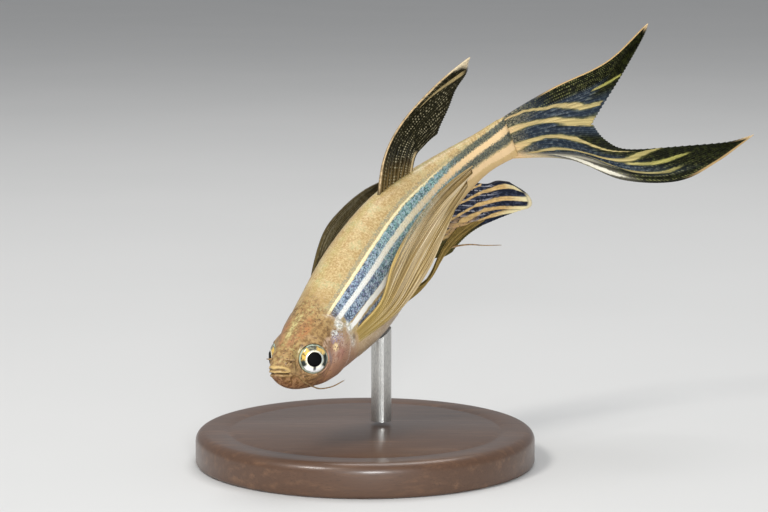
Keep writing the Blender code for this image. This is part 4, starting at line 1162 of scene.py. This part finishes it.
# The left pectoral fin's lines start from s and z on the flank, the left pelvic fin's from s and y
# on the belly, and both have s, y and z from there
PECTORAL_LINES = (
    (0.0, (9.2, -1.1), ((12.4, 3.9, -0.2), (15.3, 4.4, 1.7), (18.5, 5.0, 2.9), (22.0, 5.3, 3.1),
                        (25.6, 5.6, 2.6), (29.3, 5.8, 1.5))),
    (0.5, (9.3, -1.75), ((13.0, 4.0, -1.2), (18.0, 5.0, 0.5), (23.0, 5.5, 1.2), (28.0, 5.8, 1.1))),
    (1.0, (9.3, -2.4), ((13.6, 4.1, -2.4), (18.0, 4.9, -1.9), (22.0, 5.3, -0.8), (26.2, 5.6, 0.4))),
)
PELVIC_LINES = (
    (0.0, (18.0, 0.6), ((21.2, 1.0, -5.85), (24.5, 1.1, -5.15), (28, 1.05, -5.15), (31.0, 1.05, -5.5))),
    (0.5, (18.3, 1.15), ((21.8, 1.55, -5.35), (26, 1.4, -4.55), (29.8, 1.25, -4.75))),
    (1.0, (18.6, 1.7), ((21.3, 1.95, -4.85), (24.5, 1.65, -4.05), (27.5, 1.45, -3.75))),
)


def pectoral_line(word, s, z, points):
    """The right fin spreads less than the left one and hangs lower at its rear."""
    near, spread, droop = PECTORAL_SET[word]
    line = [(s, side_width(s, z) - PECTORAL_SINK, z)]
    for p, y, h in points:
        out = near + (y - PECTORAL_SET["left"][0]) * spread
        line.append((p, out, h - droop * max(p - MIDDLE, 0)))
    return line


def make_fins(paints):
    for name, rows, rays, cells, length, replaced, sway in MIDDLE_FINS:
        lines = [(share, [(s, 0.0, z) for s, z in points]) for share, *points in rows]
        make_fine_fin(name + "_rays", lines, rays, cells, length, paints[name], replaced, sway)
    for word, side in SIDES:
        lines = [(share, np.array(pectoral_line(word, s, z, points)) * (1, side, 1))
                 for share, (s, z), points in PECTORAL_LINES]
        make_fine_fin("pectoral_rays_" + word, lines, 12, 16, 90, paints["pectoral_" + word],
                      ("pectoral_fin_" + word,), sway=0.12, straight=True)
        lines = [(share, np.array([(s, y, belly_level(s, y) + PELVIC_SINK), *points]) * (1, side, 1))
                 for share, (s, y), points in PELVIC_LINES]
        make_fine_fin("pelvic_rays_" + word, lines, 8, 14, 60, paints["pelvic"],
                      ("pelvic_fin_" + word,), sway=0.08)


# Barbels

def tapered_tube(name, points, root, tip, paint, replaced):
    """A thin round feeler along points in world metres, with its radii at root and tip."""
    mesh, u, v = grid_mesh(name, *FEELER_CELLS)
    line = curve_points(points, v)
    ahead = curve_points(points, np.minimum(v + 0.01, 1)) - curve_points(points, np.maximum(v - 0.01, 0))
    ahead /= np.linalg.norm(ahead, axis=-1, keepdims=True)
    first = np.cross(ahead, (0.3, 0.2, 0.93))
    first /= np.linalg.norm(first, axis=-1, keepdims=True)
    second = np.cross(ahead, first)
    radius = (root + (tip - root) * v) * rounding(v, 1 - FEELER_END, FEELER_END) * MM
    turn = u * math.tau
    ring = first * np.cos(turn)[:, None] + second * np.sin(turn)[:, None]
    set_places(mesh, line + ring * radius[:, None])
    add_uv(mesh, "body", np.full_like(u, 2.0 / BODY_MAP), np.full_like(v, 0.2))
    closed_piece(name, mesh, paint, replaced, weld=0.000001)


CHIN_FEELERS = {
    "left": ((1.5, 1.0, 1.0), (1.83, 1.3, 0.45), (2.0, 1.28, -0.12), (2.35, 1.22, -0.78),
             (3.1, 1.08, -1.85), (4.1, 0.85, -2.98), (5.5, 0.95, -3.95), (7.07, 1.1, -4.6)),
    "right": ((1.5, 1.0, 1.0), (2.1, 1.6, 0.1), (3.0, 1.9, -0.9), (4.2, 2.2, -1.75), (5.7, 2.3, -2.7)),
}
# s from the snout, height, and how far outside the cheek
NOSE_FEELER = ((1.85, 2.28, -0.15), (1.88, 2.24, 0.12), (1.95, 2.18, 0.3), (2.1, 2.05, 0.45))
# A ray that has come loose from the front of the left pelvic fin
LOOSE_RAY = ((25.9, -1.06, -5.0), (27.0, -1.1, -5.57), (28.3, -1.1, -6.4), (29.8, -1.1, -7.6),
             (31.6, -1.1, -8.85))


def make_feelers(paint):
    """The chin pair, one swept under the jaw and one along the cheek, and the short nose pair."""
    for word, side in SIDES:
        chin = np.array(CHIN_FEELERS[word]) * (1, side, 1)
        tapered_tube("chin_feeler_" + word, bent(*chin.T), 0.085, 0.045, paint,
                     ("barbel_chin_" + word,))
        nose = np.array([(s, side * (side_width(s, z) + out), z) for s, z, out in NOSE_FEELER])
        tapered_tube("nose_feeler_" + word, bent(*nose.T), 0.1, 0.03, paint,
                     ("barbel_nose_" + word,))
    tapered_tube("pelvic_loose_ray", bent(*np.array(LOOSE_RAY).T), 0.1, 0.03, paint, ())


# Stand

def make_stand(frame, wood, steel):
    """A turned base with a bead round its top, and the steel rod."""
    bm = bmesh.new()
    outline = [(0.0, BASE_HEIGHT), (11.6, BASE_HEIGHT), (11.9, 2.86), (12.15, 2.86), (12.45, BASE_HEIGHT)]
    for k in range(9):
        turn = math.pi / 2 * k / 8
        x = BASE_RADIUS - BASE_BEAD * (1 - math.sin(turn))
        outline.append((x, BASE_HEIGHT - BASE_BEAD * (1 - math.cos(turn))))
    outline += [(BASE_RADIUS, 0.35), (BASE_RADIUS - 0.1, 0.1), (BASE_RADIUS - 0.35, 0.0), (0.0, 0.0)]
    knots = [bm.verts.new(Vector((x, 0, z)) * MM) for x, z in outline]
    edges = [bm.edges.new(pair) for pair in zip(knots, knots[1:])]
    bmesh.ops.spin(bm, geom=[*knots, *edges], cent=(0, 0, 0), axis=(0, 0, 1), dvec=(0, 0, 0),
                   angle=math.tau, steps=160, use_merge=True, use_normal_flip=False, use_duplicate=False)
    mesh = bpy.data.meshes.new("turned_base")
    bm.to_mesh(mesh)
    bm.free()
    base = closed_piece("turned_base", mesh, wood, ("stand_base",), weld=0.000005)
    base.data.set_sharp_from_angle(angle=math.radians(50))
    rod = frame["nodes"]["stand_rod"]
    rod.data.materials.clear()
    rod.data.materials.append(steel)


# Stage

def make_stage(paint):
    mesh, u, v = grid_mesh("floor", 1, 1)
    set_places(mesh, np.stack([u - 0.5, v - 0.5, 0 * u], -1) * FLOOR_WIDTH)
    mesh.materials.append(paint)
    add_object("floor", mesh)


def add_light(name, place, power, size, colour=(1, 1, 1)):
    lamp = bpy.data.lights.new(name, "AREA")
    lamp.energy = power
    lamp.shape = "DISK"
    lamp.size = size
    lamp.color = colour
    item = add_object(name, lamp)
    item.location = place
    item.rotation_euler = (Vector(LIT_PLACE) - Vector(place)).to_track_quat("-Z", "Y").to_euler()


def make_lights():
    world = bpy.data.worlds.new("studio")
    world.use_nodes = True
    back = world.node_tree.nodes["Background"]
    back.inputs["Color"].default_value = (0.95, 0.97, 1.0, 1)
    back.inputs["Strength"].default_value = 0.38
    bpy.context.scene.world = world
    bpy.context.scene.view_settings.view_transform = "Standard"
    add_light("key", (-0.22, -0.24, 0.34), 1.02, 0.12, (1.0, 0.98, 0.95))
    add_light("fill", (0.04, -0.42, 0.13), 1.32, 0.12, (0.95, 0.98, 1.0))
    add_light("top", (0.05, 0.16, 0.4), 0.7, 0.25)


def make_camera():
    camera = bpy.data.cameras.new("camera")
    camera.lens = LENS
    camera.sensor_width = 36
    camera.clip_start = 0.01
    item = add_object("camera", camera)
    down = math.radians(LOOK_DOWN)
    away = Vector((0, -math.cos(down), math.sin(down))) * CAMERA_DISTANCE
    item.location = (Vector(CAMERA_TARGET) + away) * MM
    item.rotation_euler = (math.radians(90) - down, 0, 0)
    bpy.context.scene.camera = item


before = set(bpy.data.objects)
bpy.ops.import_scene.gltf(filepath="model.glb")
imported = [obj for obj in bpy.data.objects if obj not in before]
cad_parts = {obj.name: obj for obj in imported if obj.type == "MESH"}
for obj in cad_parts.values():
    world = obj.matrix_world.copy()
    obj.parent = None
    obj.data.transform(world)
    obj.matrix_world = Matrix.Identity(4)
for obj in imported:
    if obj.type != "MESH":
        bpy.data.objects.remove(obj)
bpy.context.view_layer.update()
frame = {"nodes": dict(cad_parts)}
make_camera()
make_lights()
make_stage(floor_paint())
skin = skin_paint()
make_skin(skin)
make_scales(skin)
make_eyes(eye_paint())
make_fins({
    "caudal": fin_paint("caudal_fin", caudal_fin_colour),
    "dorsal": fin_paint("dorsal_fin", dorsal_fin_colour),
    "anal": fin_paint("anal_fin", anal_fin_colour),
    "pectoral_left": fin_paint("clear_fin", clear_fin_colour),
    "pectoral_right": fin_paint("shaded_fin", shaded_fin_colour),
    "pelvic": fin_paint("olive_fin", olive_fin_colour),
})
make_feelers(skin)
make_stand(frame, wood_paint(), steel_paint())
